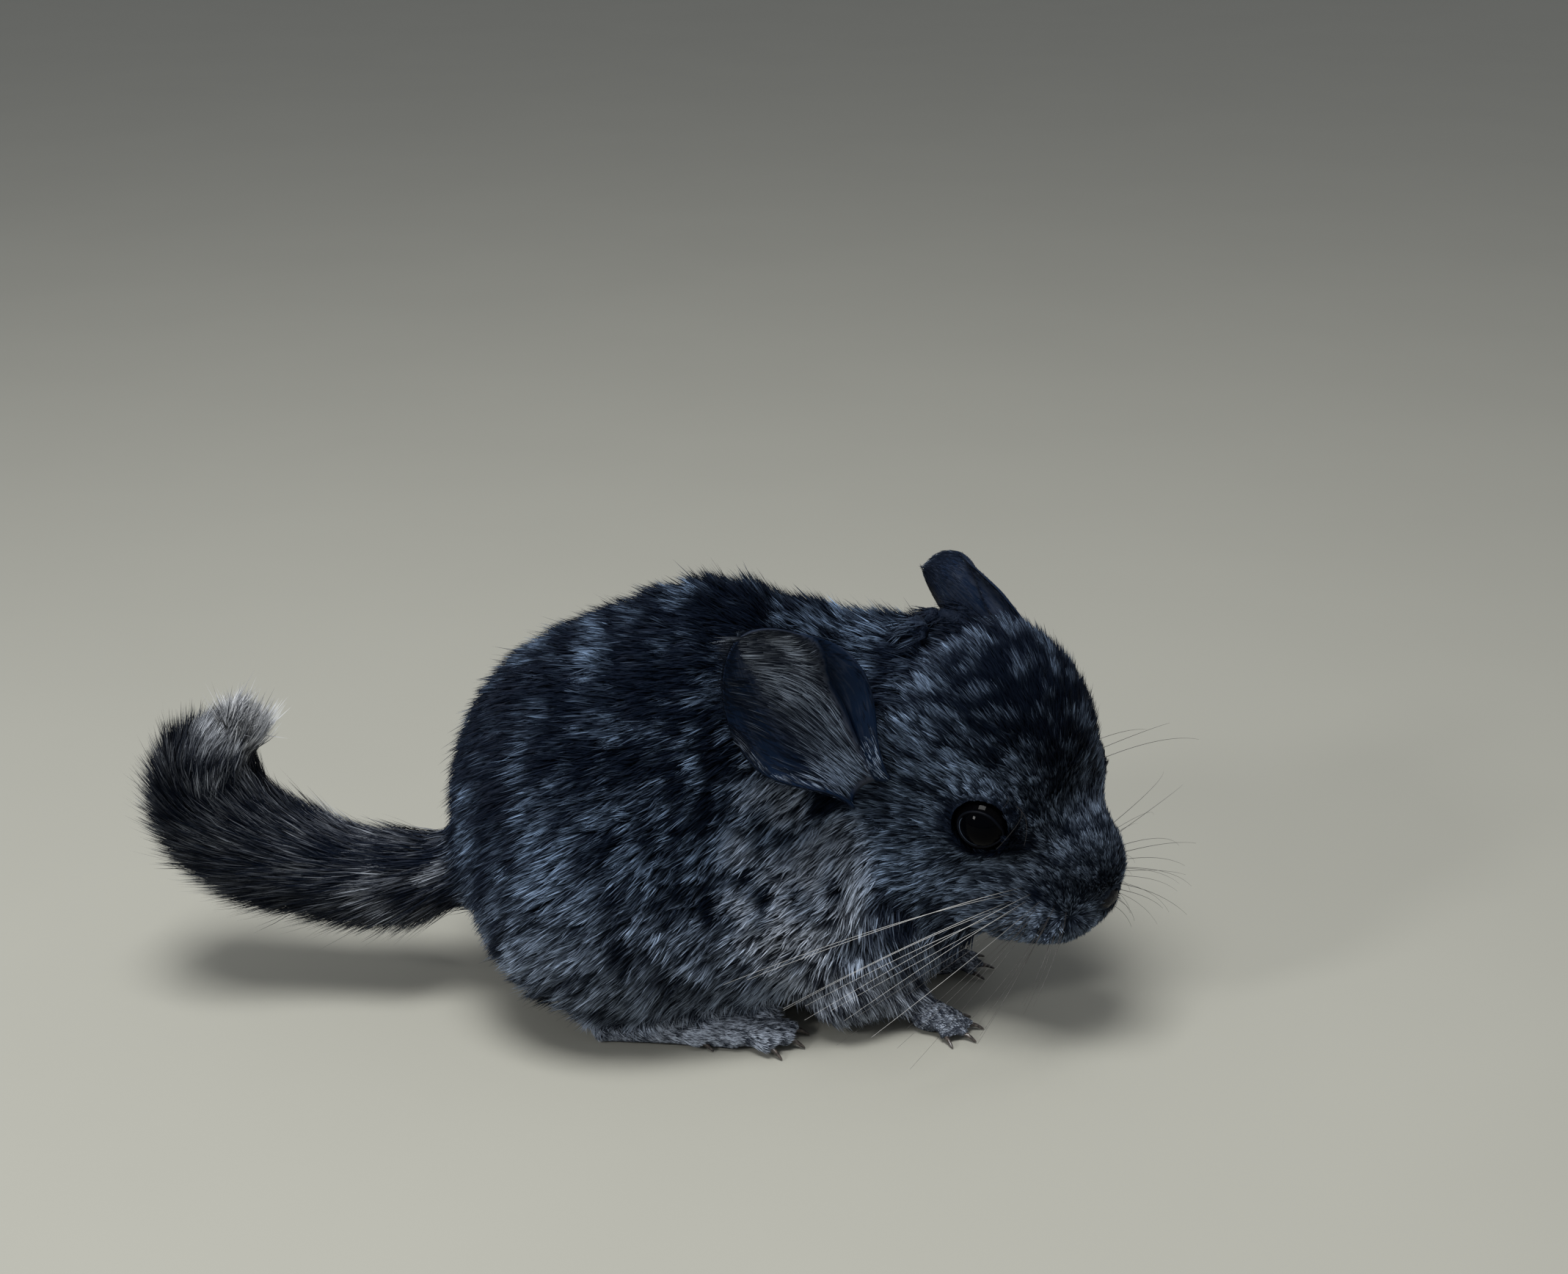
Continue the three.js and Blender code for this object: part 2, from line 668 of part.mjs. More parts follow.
function makeHindFoot(s) {
  const foot = hindFoot(s);
  const sole = solid(
    archedTube(foot.heel, foot.ball, 1, [[4.4, 4.3], [HIND_FOOT.width / 2, 3.3]], {
      steps: 4,
      sides: 10,
      blunt: 2.5,
    }),
  );
  const toes = hindToes(s).map(({ root, tip }) =>
    solid(archedTube(root, tip, 2, [[2.7, 2.1], [2.8, 2]], { steps: 2, sides: 7, blunt: 1.1 })),
  );
  const claws = hindToes(s).map((toe) => clawShape(toe, CLAWS.hind, GAP));
  return onFloor(join(sole, toes)).subtract(bodyGuard).subtract(join(claws));
}

// The claws, which sit in the ends of the toes.
const CLAWS = {
  fore: { length: 2.6, radius: 0.72, rise: 0.7 },
  hind: { length: 3, radius: 0.85, rise: 0.8 },
};

/** One claw from inside the end of a toe to its own tip. */
function clawShape({ tip, way }, { length, radius, rise }, grow = 0) {
  const from = tip.clone().addScaledVector(way, -0.4);
  const to = tip.clone().addScaledVector(way, length);
  to.z = 0.35;
  return solid(
    archedTube(from, to, rise, [[radius + grow, 0.3 + grow], [radius + grow, 0.3 + grow]], {
      steps: 2,
      sides: 5,
      blunt: 0.2 + grow,
    }),
  );
}

// The tail: a core of flesh and underfur, and the long hair over it as overlapping locks.
const tailCurve = new THREE.CatmullRomCurve3([
  vec(-48, 0, 29),
  vec(-60, 0, 26.5),
  vec(-71, 0.5, 26),
  vec(-80, 1, 28),
  vec(-89, 1, 31),
  vec(-97.4, 1, 36.5),
  vec(-101.6, 1, 43.8),
  vec(-100, 1, 51.2),
  vec(-95, 1, 57),
]);

/** The radius of the tail's core, fullest at the bend. */
const tailRadius = (t) =>
  mix(TAIL.root, TAIL.brush, smooth(t, 0.1, 0.7)) * (1 - 0.25 * smooth(t, 0.85, 1));

/** A stretch of the tail's core, between two shares of its length. */
function tailCore(from, to, grow = 0) {
  const points = Array.from({ length: 9 }, (_, i) => tailCurve.getPoint(mix(from, to, i / 8)));
  const stretch = new THREE.CatmullRomCurve3(points);
  return solid(
    tube(stretch, (t) => Array(2).fill(tailRadius(mix(from, to, t)) + grow), {
      steps: Math.round(12 * (to - from)) + 2,
      sides: 12,
      up: vec(0, 1, 0),
      blunt: to > 0.99 ? 2.5 : 0.01,
    }),
  );
}

/** A point beside the tail: t along it, past its end too, and `radius` out at the angle `round`. */
function besideTail(t, round, radius) {
  const inside = Math.min(t, 1);
  const along = tailCurve.getTangent(inside);
  const side = new THREE.Vector3().crossVectors(vec(0, 1, 0), along).normalize();
  const high = new THREE.Vector3().crossVectors(along, side);
  const out = side.multiplyScalar(Math.cos(round)).addScaledVector(high, Math.sin(round));
  const point = tailCurve
    .getPoint(inside)
    .addScaledVector(along, (t - inside) * tailCurve.getLength())
    .addScaledVector(out, radius);
  return { point, out };
}

/** One flat tapered lock that lies along the tail with its root sunk in the core. */
function tailLock(t, round, grow = 0) {
  const atTip = smooth(t, 0.7, 0.95);
  const long = (TAIL.lock * draw(0.85, 1.15) * mix(1, 0.6, atTip)) / tailCurve.getLength();
  const lift = TAIL.lift * draw(0.7, 1.3) * mix(1, -1.6, atTip);
  const radius = tailRadius(t);
  const { point: start, out } = besideTail(t, round, radius - 2.2);
  const { point: middle } = besideTail(t + long * 0.5, round, radius + lift * 0.9);
  const { point: end } = besideTail(t + long, round, radius + lift);
  const width = [0.8 * TAIL.wide, TAIL.wide, 1];
  return solid(
    tube(
      new THREE.QuadraticBezierCurve3(start, middle, end),
      (u) => [mix(...span(width, u)) + grow, mix(1, 0.4, u) + grow],
      { steps: 2, sides: 4, up: out, blunt: 0.5 + grow },
    ),
  );
}

/** The two neighbours in a list that a share of its length lies between, and how far between. */
function span(list, share) {
  const place = share * (list.length - 1);
  const before = Math.min(Math.floor(place), list.length - 2);
  return [list[before], list[before + 1], place - before];
}

const TAIL_LENGTHS = [
  { name: "tail_base", from: 0, to: 0.38, locksFrom: 0.15, rings: 1 },
  { name: "tail_middle", from: 0.38, to: 0.68, locksFrom: 0.38, rings: 2 },
  { name: "tail_tip", from: 0.68, to: 1, locksFrom: 0.68, rings: 2 },
];

/** One length of the tail with its locks, all the same draws whatever `grow` is. */
function tailLength({ from, to, locksFrom, rings: count }, grow = 0) {
  drawState = Math.round(from * 1000) + 7;
  const locks = [];
  for (let r = 0; r < count; r++) {
    for (let i = 0; i < TAIL.around; i++) {
      const t = mix(locksFrom, to, (r + 0.35 + draw(-0.12, 0.12)) / count);
      const round = ((i + (r % 2) / 2 + draw(-0.15, 0.15)) / TAIL.around) * 2 * Math.PI;
      locks.push(tailLock(Math.min(t, 0.97), round, grow));
    }
  }
  return locks.length ? join(tailCore(from, to, grow), locks) : tailCore(from, to, grow);
}

// The parts, with the finish of each.
const finish = {
  coat: new THREE.MeshStandardMaterial({ color: 0x2d333f, roughness: 0.95, metalness: 0 }),
  face: new THREE.MeshStandardMaterial({ color: 0x363c48, roughness: 0.95, metalness: 0 }),
  tail: new THREE.MeshStandardMaterial({ color: 0x3a3c3f, roughness: 0.95, metalness: 0 }),
  ear: new THREE.MeshStandardMaterial({ color: 0x2c313b, roughness: 0.8, metalness: 0 }),
  nose: new THREE.MeshStandardMaterial({ color: 0x1f232b, roughness: 0.6, metalness: 0 }),
  paw: new THREE.MeshStandardMaterial({ color: 0x6b6670, roughness: 0.85, metalness: 0 }),
  claw: new THREE.MeshStandardMaterial({ color: 0x1c1a1c, roughness: 0.45, metalness: 0 }),
  eye: new THREE.MeshStandardMaterial({ color: 0x050507, roughness: 0.08, metalness: 0 }),
};

const chinchilla = new THREE.Group();
chinchilla.add(headGroup);

/** Adds one named part to a group. */
function part(name, manifold, material, group = chinchilla) {
  const mesh = new THREE.Mesh(geometryOf(manifold), material);
  mesh.name = name;
  group.add(mesh);
}

part("torso", makeTorso(), finish.coat);
part("neck", makeNeck(), finish.coat);
part("head", makeHead(), finish.face, headGroup);
part("lower_jaw", makeJaw(), finish.face, headGroup);
part("nose", makeNose(), finish.nose, headGroup);

for (const [side, s] of Object.entries(SIDES)) {
  part(`eye_${side}`, eyeShape(s), finish.eye, headGroup);
  part(`ear_${side}`, makeEar(side), finish.ear, headGroup);
  part(`whisker_pad_${side}`, makeWhiskerPad(s), finish.face, headGroup);
  part(`haunch_${side}`, makeHaunch(s), finish.coat);
  part(`foreleg_${side}`, makeForeleg(s), finish.coat);
  part(`forefoot_${side}`, makeForeFoot(s), finish.paw);
  part(`hindfoot_${side}`, makeHindFoot(s), finish.paw);
  foreToes(s).forEach((toe, i) => {
    part(`fore_claw_${side}_${i + 1}`, clawShape(toe, CLAWS.fore), finish.claw);
  });
  hindToes(s).forEach((toe, i) => {
    part(`hind_claw_${side}_${i + 1}`, clawShape(toe, CLAWS.hind), finish.claw);
  });
}

TAIL_LENGTHS.forEach((length, i) => {
  let made = tailLength(length).subtract(bodyGuard);
  for (const before of TAIL_LENGTHS.slice(0, i)) made = made.subtract(tailLength(before, GAP));
  part(length.name, made, finish.tail);
});

// The origin is the middle of the model's footprint, at the floor.
const bounds = new THREE.Box3().setFromObject(chinchilla, true);
const middle = bounds.getCenter(new THREE.Vector3());
chinchilla.position.set(-middle.x, -middle.y, -bounds.min.z);

export default chinchilla;
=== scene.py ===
"""A young chinchilla, life size, crouched on all fours with its head turned to its right side.

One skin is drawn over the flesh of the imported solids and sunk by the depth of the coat. The coat
is grown from it tuft by tuft along the lie of the hair. Eyes, nose, ears, claws and whiskers are
pieces of their own.

Shapes are worked out in millimetres in the animal's own frame: +X the way the body faces, +Y its
left, +Z up, with the floor at 0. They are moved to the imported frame, in metres, as they are made.
"""

from __future__ import annotations

import logging
import math
from dataclasses import dataclass, field
from enum import Enum

import bmesh
import bpy
import numpy as np
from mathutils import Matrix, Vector, kdtree

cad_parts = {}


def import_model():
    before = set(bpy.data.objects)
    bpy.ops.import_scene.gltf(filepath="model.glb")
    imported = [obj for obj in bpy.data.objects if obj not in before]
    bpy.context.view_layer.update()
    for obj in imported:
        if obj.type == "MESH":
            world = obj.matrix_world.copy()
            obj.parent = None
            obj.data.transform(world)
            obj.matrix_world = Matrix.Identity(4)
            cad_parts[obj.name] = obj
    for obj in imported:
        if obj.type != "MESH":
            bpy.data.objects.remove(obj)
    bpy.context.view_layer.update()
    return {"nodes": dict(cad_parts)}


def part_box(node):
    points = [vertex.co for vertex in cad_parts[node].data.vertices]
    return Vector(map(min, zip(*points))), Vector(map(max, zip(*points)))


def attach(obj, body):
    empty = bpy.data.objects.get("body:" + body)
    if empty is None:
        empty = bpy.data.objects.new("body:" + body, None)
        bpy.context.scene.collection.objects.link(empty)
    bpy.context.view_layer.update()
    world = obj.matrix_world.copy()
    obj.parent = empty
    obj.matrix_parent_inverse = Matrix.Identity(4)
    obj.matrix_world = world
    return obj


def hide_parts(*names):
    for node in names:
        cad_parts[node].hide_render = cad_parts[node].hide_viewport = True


LOG = logging.getLogger("chinchilla")
MILLIMETRE = 0.001
BODY = "root"
FORWARD = (1.0, 0.0, 0.0)
UP = (0.0, 0.0, 1.0)


class Side(Enum):
    """The two sides of the animal, as the sign of Y on each."""

    LEFT = 1
    RIGHT = -1

    @property
    def word(self) -> str:
        """The side as it stands in the names of nodes."""
        return self.name.lower()


# Small sums on arrays of points.


def smooth(value: np.ndarray, low: float, high: float) -> np.ndarray:
    """A soft step from 0 at `low` to 1 at `high`."""
    share = np.clip((value - low) / (high - low), 0.0, 1.0)
    return share * share * (3.0 - 2.0 * share)


def mix(low: np.ndarray, high: np.ndarray, share: np.ndarray) -> np.ndarray:
    """The value a share of the way from `low` to `high`."""
    return low + (high - low) * share


def unit(vectors: np.ndarray) -> np.ndarray:
    """The vectors at length 1."""
    return vectors / np.maximum(np.linalg.norm(vectors, axis=-1, keepdims=True), 1e-9)


def dot(a: np.ndarray, b: np.ndarray) -> np.ndarray:
    """The dot product of each pair of vectors, kept as a column."""
    return np.sum(a * b, axis=-1, keepdims=True)


def along_surface(vectors: np.ndarray, normals: np.ndarray) -> np.ndarray:
    """The vectors laid down on the surface with these normals, at length 1."""
    return unit(vectors - normals * dot(vectors, normals))


def within(points: np.ndarray, centre: tuple, radii: tuple, soft: float = 0.3) -> np.ndarray:
    """1 inside an ellipsoid and 0 outside it, with a soft edge.

    Args:
        points: The points to test.
        centre: The ellipsoid's centre.
        radii: Its three half sizes.
        soft: Half the width of the edge, as a share of the radii.

    Returns:
        One number for each point.
    """
    reach = np.linalg.norm((points - np.array(centre)) / np.array(radii), axis=1)
    return 1.0 - smooth(reach, 1.0 - soft, 1.0 + soft)


def wrapped(angle: np.ndarray) -> np.ndarray:
    """The angle brought between minus and plus half a turn."""
    return (angle + math.pi) % (2 * math.pi) - math.pi


def rotation(roll: float, pitch: float, yaw: float) -> np.ndarray:
    """A turn about X, then Y, then Z, in degrees, as a matrix."""
    cr, sr = math.cos(math.radians(roll)), math.sin(math.radians(roll))
    cp, sp = math.cos(math.radians(pitch)), math.sin(math.radians(pitch))
    cy, sy = math.cos(math.radians(yaw)), math.sin(math.radians(yaw))
    about_x = np.array([[1, 0, 0], [0, cr, -sr], [0, sr, cr]])
    about_y = np.array([[cp, 0, sp], [0, 1, 0], [-sp, 0, cp]])
    about_z = np.array([[cy, -sy, 0], [sy, cy, 0], [0, 0, 1]])
    return about_z @ about_y @ about_x


CELL_PRIMES = (73856093, 19349663, 83492791)
SEED_PRIME = 2654435761
STIR_PRIME = 1274126177
WORD = 0xFFFFFFFF
HALF_WORD = 0xFFFF


def drifting(points: np.ndarray, size: tuple, seed: int) -> np.ndarray:
    """Smooth random values from 0 to 1 that drift over space.

    Args:
        points: Where the values are wanted.
        size: The distance over which they change, along each axis.
        seed: Which drift this is.

    Returns:
        One number for each point.
    """
    place = points / np.array(size)
    cell = np.floor(place).astype(np.int64)
    share = place - cell
    share = share * share * (3.0 - 2.0 * share)
    total = np.zeros(len(points))
    for corner in range(8):
        step = np.array([corner & 1, corner >> 1 & 1, corner >> 2 & 1])
        x, y, z = (cell + step).T
        by_x, by_y, by_z = CELL_PRIMES
        code = (x * by_x ^ y * by_y ^ z * by_z ^ seed * SEED_PRIME) & WORD
        code = (code ^ (code >> 13)) * STIR_PRIME & WORD
        code = (code ^ (code >> 16)) & HALF_WORD
        weight = np.prod(np.where(step, share, 1.0 - share), axis=1)
        total += weight * code / HALF_WORD
    return total


# Where things are on the animal.


@dataclass(frozen=True)
class Head:
    """The head's own frame: its origin is midway between the eyes, +X to the nose, +Y its left."""

    place: tuple = (62.3, -12.0, 49.8)
    roll: float = 3.0
    pitch: float = 26.0
    yaw: float = -37.5
    eye_apart: float = 31.0
    eye_ahead: float = 1.4
    eye_high: float = 3.0
    eye_radius: float = 6.0
    lid_high: float = 35.5
    lid_wide: float = 40.5

    @property
    def turn(self) -> np.ndarray:
        """The head's turn in the body's frame."""
        return rotation(self.roll, self.pitch, self.yaw)

    def out(self, points: np.ndarray) -> np.ndarray:
        """Points of the head's frame in the body's frame."""
        return np.asarray(points, float) @ self.turn.T + np.array(self.place)

    def into(self, points: np.ndarray) -> np.ndarray:
        """Points of the body's frame in the head's frame."""
        return (points - np.array(self.place)) @ self.turn

    def way(self, vectors: np.ndarray) -> np.ndarray:
        """Directions of the head's frame in the body's frame."""
        return np.asarray(vectors, float) @ self.turn.T

    def eye(self, side: Side) -> np.ndarray:
        """The centre of one eye, in the body's frame."""
        return self.out([self.eye_ahead, self.eye_apart / 2 * side.value, self.eye_high])

    def eye_axis(self, side: Side) -> np.ndarray:
        """The way one eye looks, in the body's frame."""
        return unit(self.way([0.3, side.value, 0.16]))

    def eye_frame(self, side: Side) -> tuple[np.ndarray, np.ndarray, np.ndarray]:
        """The way one eye looks, the way to its front corner, and the way up from both."""
        axis = self.eye_axis(side)
        ahead = along_surface(self.way(FORWARD) + 0.22 * self.way(UP), axis)
        return axis, ahead, np.cross(axis, ahead) * side.value * -1.0

    def lid_opening(self, around: np.ndarray) -> np.ndarray:
        """Half the angle that the lids leave open, in degrees.

        Args:
            around: The angle round the eye from its front corner, upwards, in radians.

        Returns:
            The angle from the way the eye looks to the lid's edge.
        """
        corner = np.exp(-((wrapped(around) / 0.42) ** 2))
        back = np.exp(-((wrapped(around - math.pi) / 0.6) ** 2))
        flat = np.cos(around) ** 2
        return self.lid_high + (self.lid_wide - self.lid_high) * flat + 10 * corner + 3 * back


@dataclass(frozen=True)
class TailLine:
    """The line down the middle of the tail, from inside the rump to its end."""

    knots: tuple = (
        (-48.0, 0.0, 29.0),
        (-60.0, 0.0, 26.5),
        (-71.0, 0.5, 26.0),
        (-80.0, 1.0, 28.0),
        (-89.0, 1.0, 31.0),
        (-97.4, 1.0, 36.5),
        (-101.6, 1.0, 43.8),
        (-100.0, 1.0, 51.2),
        (-95.0, 1.0, 57.0),
    )
    steps: int = 12

    def line(self) -> tuple[np.ndarray, np.ndarray]:
        """Points along the line and the way it runs at each, nose end first."""
        knots = np.array(self.knots)
        padded = np.vstack([2 * knots[0] - knots[1], knots, 2 * knots[-1] - knots[-2]])
        points = []
        for i in range(1, len(padded) - 2):
            before, start, end, after = padded[i - 1 : i + 3]
            for t in np.linspace(0, 1, self.steps, endpoint=False):
                points.append(
                    0.5
                    * (
                        2 * start
                        + (end - before) * t
                        + (2 * before - 5 * start + 4 * end - after) * t**2
                        + (3 * start - before - 3 * end + after) * t**3
                    )
                )
        points.append(knots[-1])
        line = np.array(points)
        return line, unit(np.gradient(line, axis=0))

    def nearest(self, points: np.ndarray) -> tuple[np.ndarray, np.ndarray, np.ndarray]:
        """How each point lies to the line.

        Args:
            points: Points in the body's frame.

        Returns:
            The nearest point of the line, the share of the way along it, and its direction there.
        """
        line, ways = self.line()
        best = np.full(len(points), 1e9)
        index = np.zeros(len(points), int)
        for i, knot in enumerate(line):
            far = np.linalg.norm(points - knot, axis=1)
            closer = far < best
            best[closer] = far[closer]
            index[closer] = i
        return line[index], index / (len(line) - 1), ways[index]


class Anatomy:
    """What the other pieces ask about places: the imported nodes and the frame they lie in."""

    def __init__(self, nodes: dict[str, bpy.types.Object]) -> None:
        """Finds the animal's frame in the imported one.

        Args:
            nodes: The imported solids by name.
        """
        self.nodes = nodes
        self.head = Head()
        self.tail = TailLine()
        corners = [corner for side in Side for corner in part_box(f"eye_{side.word}")]
        between_eyes = np.mean([list(corner) for corner in corners], axis=0) / MILLIMETRE
        self.offset = between_eyes - self.head.out([self.head.eye_ahead, 0.0, self.head.eye_high])

    def packed(self, points: np.ndarray) -> np.ndarray:
        """Points of the body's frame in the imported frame, in metres."""
        return (np.asarray(points, float) + self.offset) * MILLIMETRE

    def own(self, points: np.ndarray) -> np.ndarray:
        """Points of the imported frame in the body's frame, in millimetres."""
        return np.asarray(points, float) / MILLIMETRE - self.offset

    def node_points(self, name: str) -> np.ndarray:
        """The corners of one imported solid, in the body's frame."""
        return self.own(vertex_array(self.nodes[name].data))


# Meshes.


def vertex_array(mesh: bpy.types.Mesh) -> np.ndarray:
    """The places of a mesh's vertices."""
    flat = np.empty(len(mesh.vertices) * 3, np.float32)
    mesh.vertices.foreach_get("co", flat)
    return flat.reshape(-1, 3).astype(float)


def corner_vertices(mesh: bpy.types.Mesh) -> np.ndarray:
    """The number of the vertex at each corner of a mesh's faces."""
    corners = np.empty(len(mesh.loops), np.int32)
    mesh.loops.foreach_get("vertex_index", corners)
    return corners


def move_to(mesh: bpy.types.Mesh, points: np.ndarray) -> None:
    """Moves a mesh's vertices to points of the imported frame."""
    mesh.vertices.foreach_set("co", points.astype(np.float32).ravel())
    mesh.update()


def new_object(name: str, points: np.ndarray, faces: list, edges: list = ()) -> bpy.types.Object:
    """A smooth mesh object at the origin, in the scene.

    Args:
        name: The object's name.
        points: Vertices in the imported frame, in metres.
        faces: Vertex numbers of each face.
        edges: Vertex numbers of each loose edge.

    Returns:
        The object.
    """
    mesh = bpy.data.meshes.new(name)
    mesh.from_pydata(np.asarray(points).tolist(), list(edges), [tuple(face) for face in faces])
    mesh.shade_smooth()
    return linked(name, mesh)


def linked(name: str, mesh: bpy.types.Mesh) -> bpy.types.Object:
    """A mesh as an object in the scene."""
    obj = bpy.data.objects.new(name, mesh)
    bpy.context.scene.collection.objects.link(obj)
    return obj


def settled(obj: bpy.types.Object) -> bpy.types.Object:
    """The object with its modifiers turned into plain mesh."""
    bpy.context.view_layer.update()
    graph = bpy.context.evaluated_depsgraph_get()
    made = bpy.data.meshes.new_from_object(
        obj.evaluated_get(graph), preserve_all_data_layers=True, depsgraph=graph
    )
    obj.modifiers.clear()
    old = obj.data
    obj.data = made
    made.name = obj.name
    bpy.data.meshes.remove(old)
    return obj


def merged_copy(source: bpy.types.Object, grow: float = 0.0) -> bmesh.types.BMesh:
    """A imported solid's mesh with its corners joined.

    Args:
        source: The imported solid, which is left as it is.
        grow: How far its sides move out, in metres.

    Returns:
        The joined mesh.
    """
    made = bmesh.new()
    made.from_mesh(source.data)
    bmesh.ops.remove_doubles(made, verts=made.verts, dist=1e-6)
    made.normal_update()
    for vertex in made.verts:
        vertex.co += vertex.normal * grow
    return made


def joined(parts: list[bmesh.types.BMesh], name: str) -> bpy.types.Object:
    """Several meshes as one object; the parts are used up."""
    whole = bmesh.new()
    for part in parts:
        mesh = bpy.data.meshes.new("part")
        part.to_mesh(mesh)
        part.free()
        whole.from_mesh(mesh)
        bpy.data.meshes.remove(mesh)
    mesh = bpy.data.meshes.new(name)
    whole.to_mesh(mesh)
    whole.free()
    mesh.shade_smooth()
    return linked(name, mesh)


def store(mesh: bpy.types.Mesh, name: str, values: np.ndarray) -> None:
    """Puts one number or one vector on each vertex of a mesh."""
    values = np.asarray(values, np.float32)
    if values.ndim == 1:
        mesh.attributes.new(name, "FLOAT", "POINT").data.foreach_set("value", values)
    else:
        mesh.attributes.new(name, "FLOAT_VECTOR", "POINT").data.foreach_set(
            "vector", values.ravel()
        )


def placed(
    obj: bpy.types.Object, material: bpy.types.Material, replaces: tuple = ()
) -> bpy.types.Object:
    """Hands a finished piece to the frame.

    Args:
        obj: The piece.
        material: Its finish.
        replaces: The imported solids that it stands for.

    Returns:
        The piece.
    """
    if not obj.data.materials:
        obj.data.materials.append(material)
    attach(obj, BODY)
    if replaces:
        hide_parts(*replaces)
    LOG.info("%s: %d faces", obj.name, len(obj.data.polygons))
    return obj


# Finishes.


class NodeHand:
    """A hand that adds and links the nodes of one tree."""

    tree: bpy.types.NodeTree

    def node(self, kind: str, inputs: dict | None = None, **settings: object) -> bpy.types.Node:
        """Adds one node.

        Args:
            kind: The node's type.
            inputs: A socket or a plain value for each named or numbered input.
            settings: The node's own properties.

        Returns:
            The node.
        """
        node = self.tree.nodes.new(kind)
        for key, value in settings.items():
            setattr(node, key, value)
        for key, value in (inputs or {}).items():
            self.feed(node.inputs[key], value)
        return node

    def feed(self, socket: bpy.types.NodeSocket, value: object) -> None:
        """Links a socket to an input, or sets a plain value on it."""
        if isinstance(value, bpy.types.NodeSocket):
            self.tree.links.new(value, socket)
        else:
            socket.default_value = value

    def sum(self, operation: str, a: object, b: object = 0.0, clamp: bool = False) -> object:
        """One step of arithmetic on two numbers."""
        node = self.node("ShaderNodeMath", {0: a, 1: b}, operation=operation, use_clamp=clamp)
        return node.outputs[0]


class Wiring(NodeHand):
    """A hand that wires the nodes of one material."""

    def __init__(self, name: str) -> None:
        """Starts a material with a shader and nothing else."""
        self.material = bpy.data.materials.new(name)
        self.material.use_nodes = True
        self.tree = self.material.node_tree
        self.tree.nodes.clear()
        output = self.node("ShaderNodeOutputMaterial")
        self.shader = self.node("ShaderNodeBsdfPrincipled")
        self.feed(output.inputs["Surface"], self.shader.outputs[0])

    def blend(self, share: object, low: object, high: object) -> object:
        """A colour a share of the way between two."""
        return self.node(
            "ShaderNodeMix", {0: share, 6: low, 7: high}, data_type="RGBA"
        ).outputs[2]

    def ramp(
        self, value: object, low: float, high: float, to_low: float = 0.0, to_high: float = 1.0
    ) -> object:
        """A number carried softly from one range to another."""
        return self.node(
            "ShaderNodeMapRange",
            {0: value, 1: low, 2: high, 3: to_low, 4: to_high},
            interpolation_type="SMOOTHSTEP",
        ).outputs[0]

    def attribute(self, name: str, vector: bool = False) -> object:
        """A number or a vector that the mesh carries."""
        node = self.node("ShaderNodeAttribute", attribute_name=name)
        return node.outputs["Vector" if vector else "Fac"]

    def object_place(self) -> object:
        """The place of the shaded point on its object."""
        return self.node("ShaderNodeTexCoord").outputs["Object"]

    def noise(self, place: object, size: float, detail: float = 2.0) -> object:
        """Random values that change over about `size` millimetres."""
        return self.node(
            "ShaderNodeTexNoise",
            {"Vector": place, "Scale": 1.0 / (size * MILLIMETRE), "Detail": detail},
        ).outputs[0]

    def bump(self, height: object, depth: float) -> None:
        """Raises the shader's surface by a height, `depth` millimetres at most."""
        node = self.node("ShaderNodeBump", {"Height": height, "Distance": depth * MILLIMETRE})
        self.feed(self.shader.inputs["Normal"], node.outputs[0])

    def dress(self, colour: object, roughness: object, **constants: float) -> bpy.types.Material:
        """Finishes the shader.

        Args:
            colour: Its base colour.
            roughness: Its roughness.
            constants: Other inputs, by their names with _ for a space.

        Returns:
            The material.
        """
        self.feed(self.shader.inputs["Base Color"], colour)
        self.feed(self.shader.inputs["Roughness"], roughness)
        for key, value in constants.items():
            self.shader.inputs[key.replace("_", " ")].default_value = value
        return self.material


@dataclass(frozen=True)
class CoatFinish:
    """Banded hair: dark at the root, paler above, with dark and pale tips mixed."""

    name: str = "coat"
    dark: tuple = (0.0021, 0.0047, 0.0115, 1.0)
    pale: tuple = (0.182, 0.262, 0.392, 1.0)
    warm: tuple = (0.560, 0.565, 0.570, 1.0)
    mottle: float = 3.4
    ticking: float = 0.9
    roughness: float = 0.62
    gloss: float = 0.07

    def material(self, tufts: bool) -> bpy.types.Material:
        """The finish of the tufts, or of the skin under them, with the same markings."""
        w = Wiring(self.name if tufts else "under_" + self.name)
        place = w.attribute("root", vector=True) if tufts else w.object_place()
        tone = w.attribute("tone")
        fine = w.noise(place, self.mottle)
        level = w.sum("ADD", tone, w.ramp(fine, 0.3, 0.7, -0.12, 0.12))
        level = w.sum("ADD", level, w.ramp(w.noise(place, self.ticking), 0.3, 0.7, -0.13, 0.13))
        if tufts:
            along = w.attribute("along")
            shade = w.attribute("shade")
            level = w.sum("MULTIPLY", w.ramp(level, 0.1, 1.1), w.ramp(along, 0.1, 0.8, 0.08, 1.0))
            # The shade attribute brings each tuft's random tone and the painted shade at the edges of
            # its clump.
            level = w.sum("MULTIPLY", level, w.ramp(shade, 0.15, 0.85, 0.05, 2.0))
        else:
            level = w.sum("MULTIPLY", w.ramp(level, 0.1, 1.1), 0.22)
        hair = w.blend(w.attribute("warm"), self.pale, self.warm)
        colour = w.blend(level, self.dark, hair)
        if not tufts:
            w.bump(w.noise(place, 0.35, 3.0), 0.3)
        return w.dress(colour, self.roughness, Specular_IOR_Level=self.gloss)


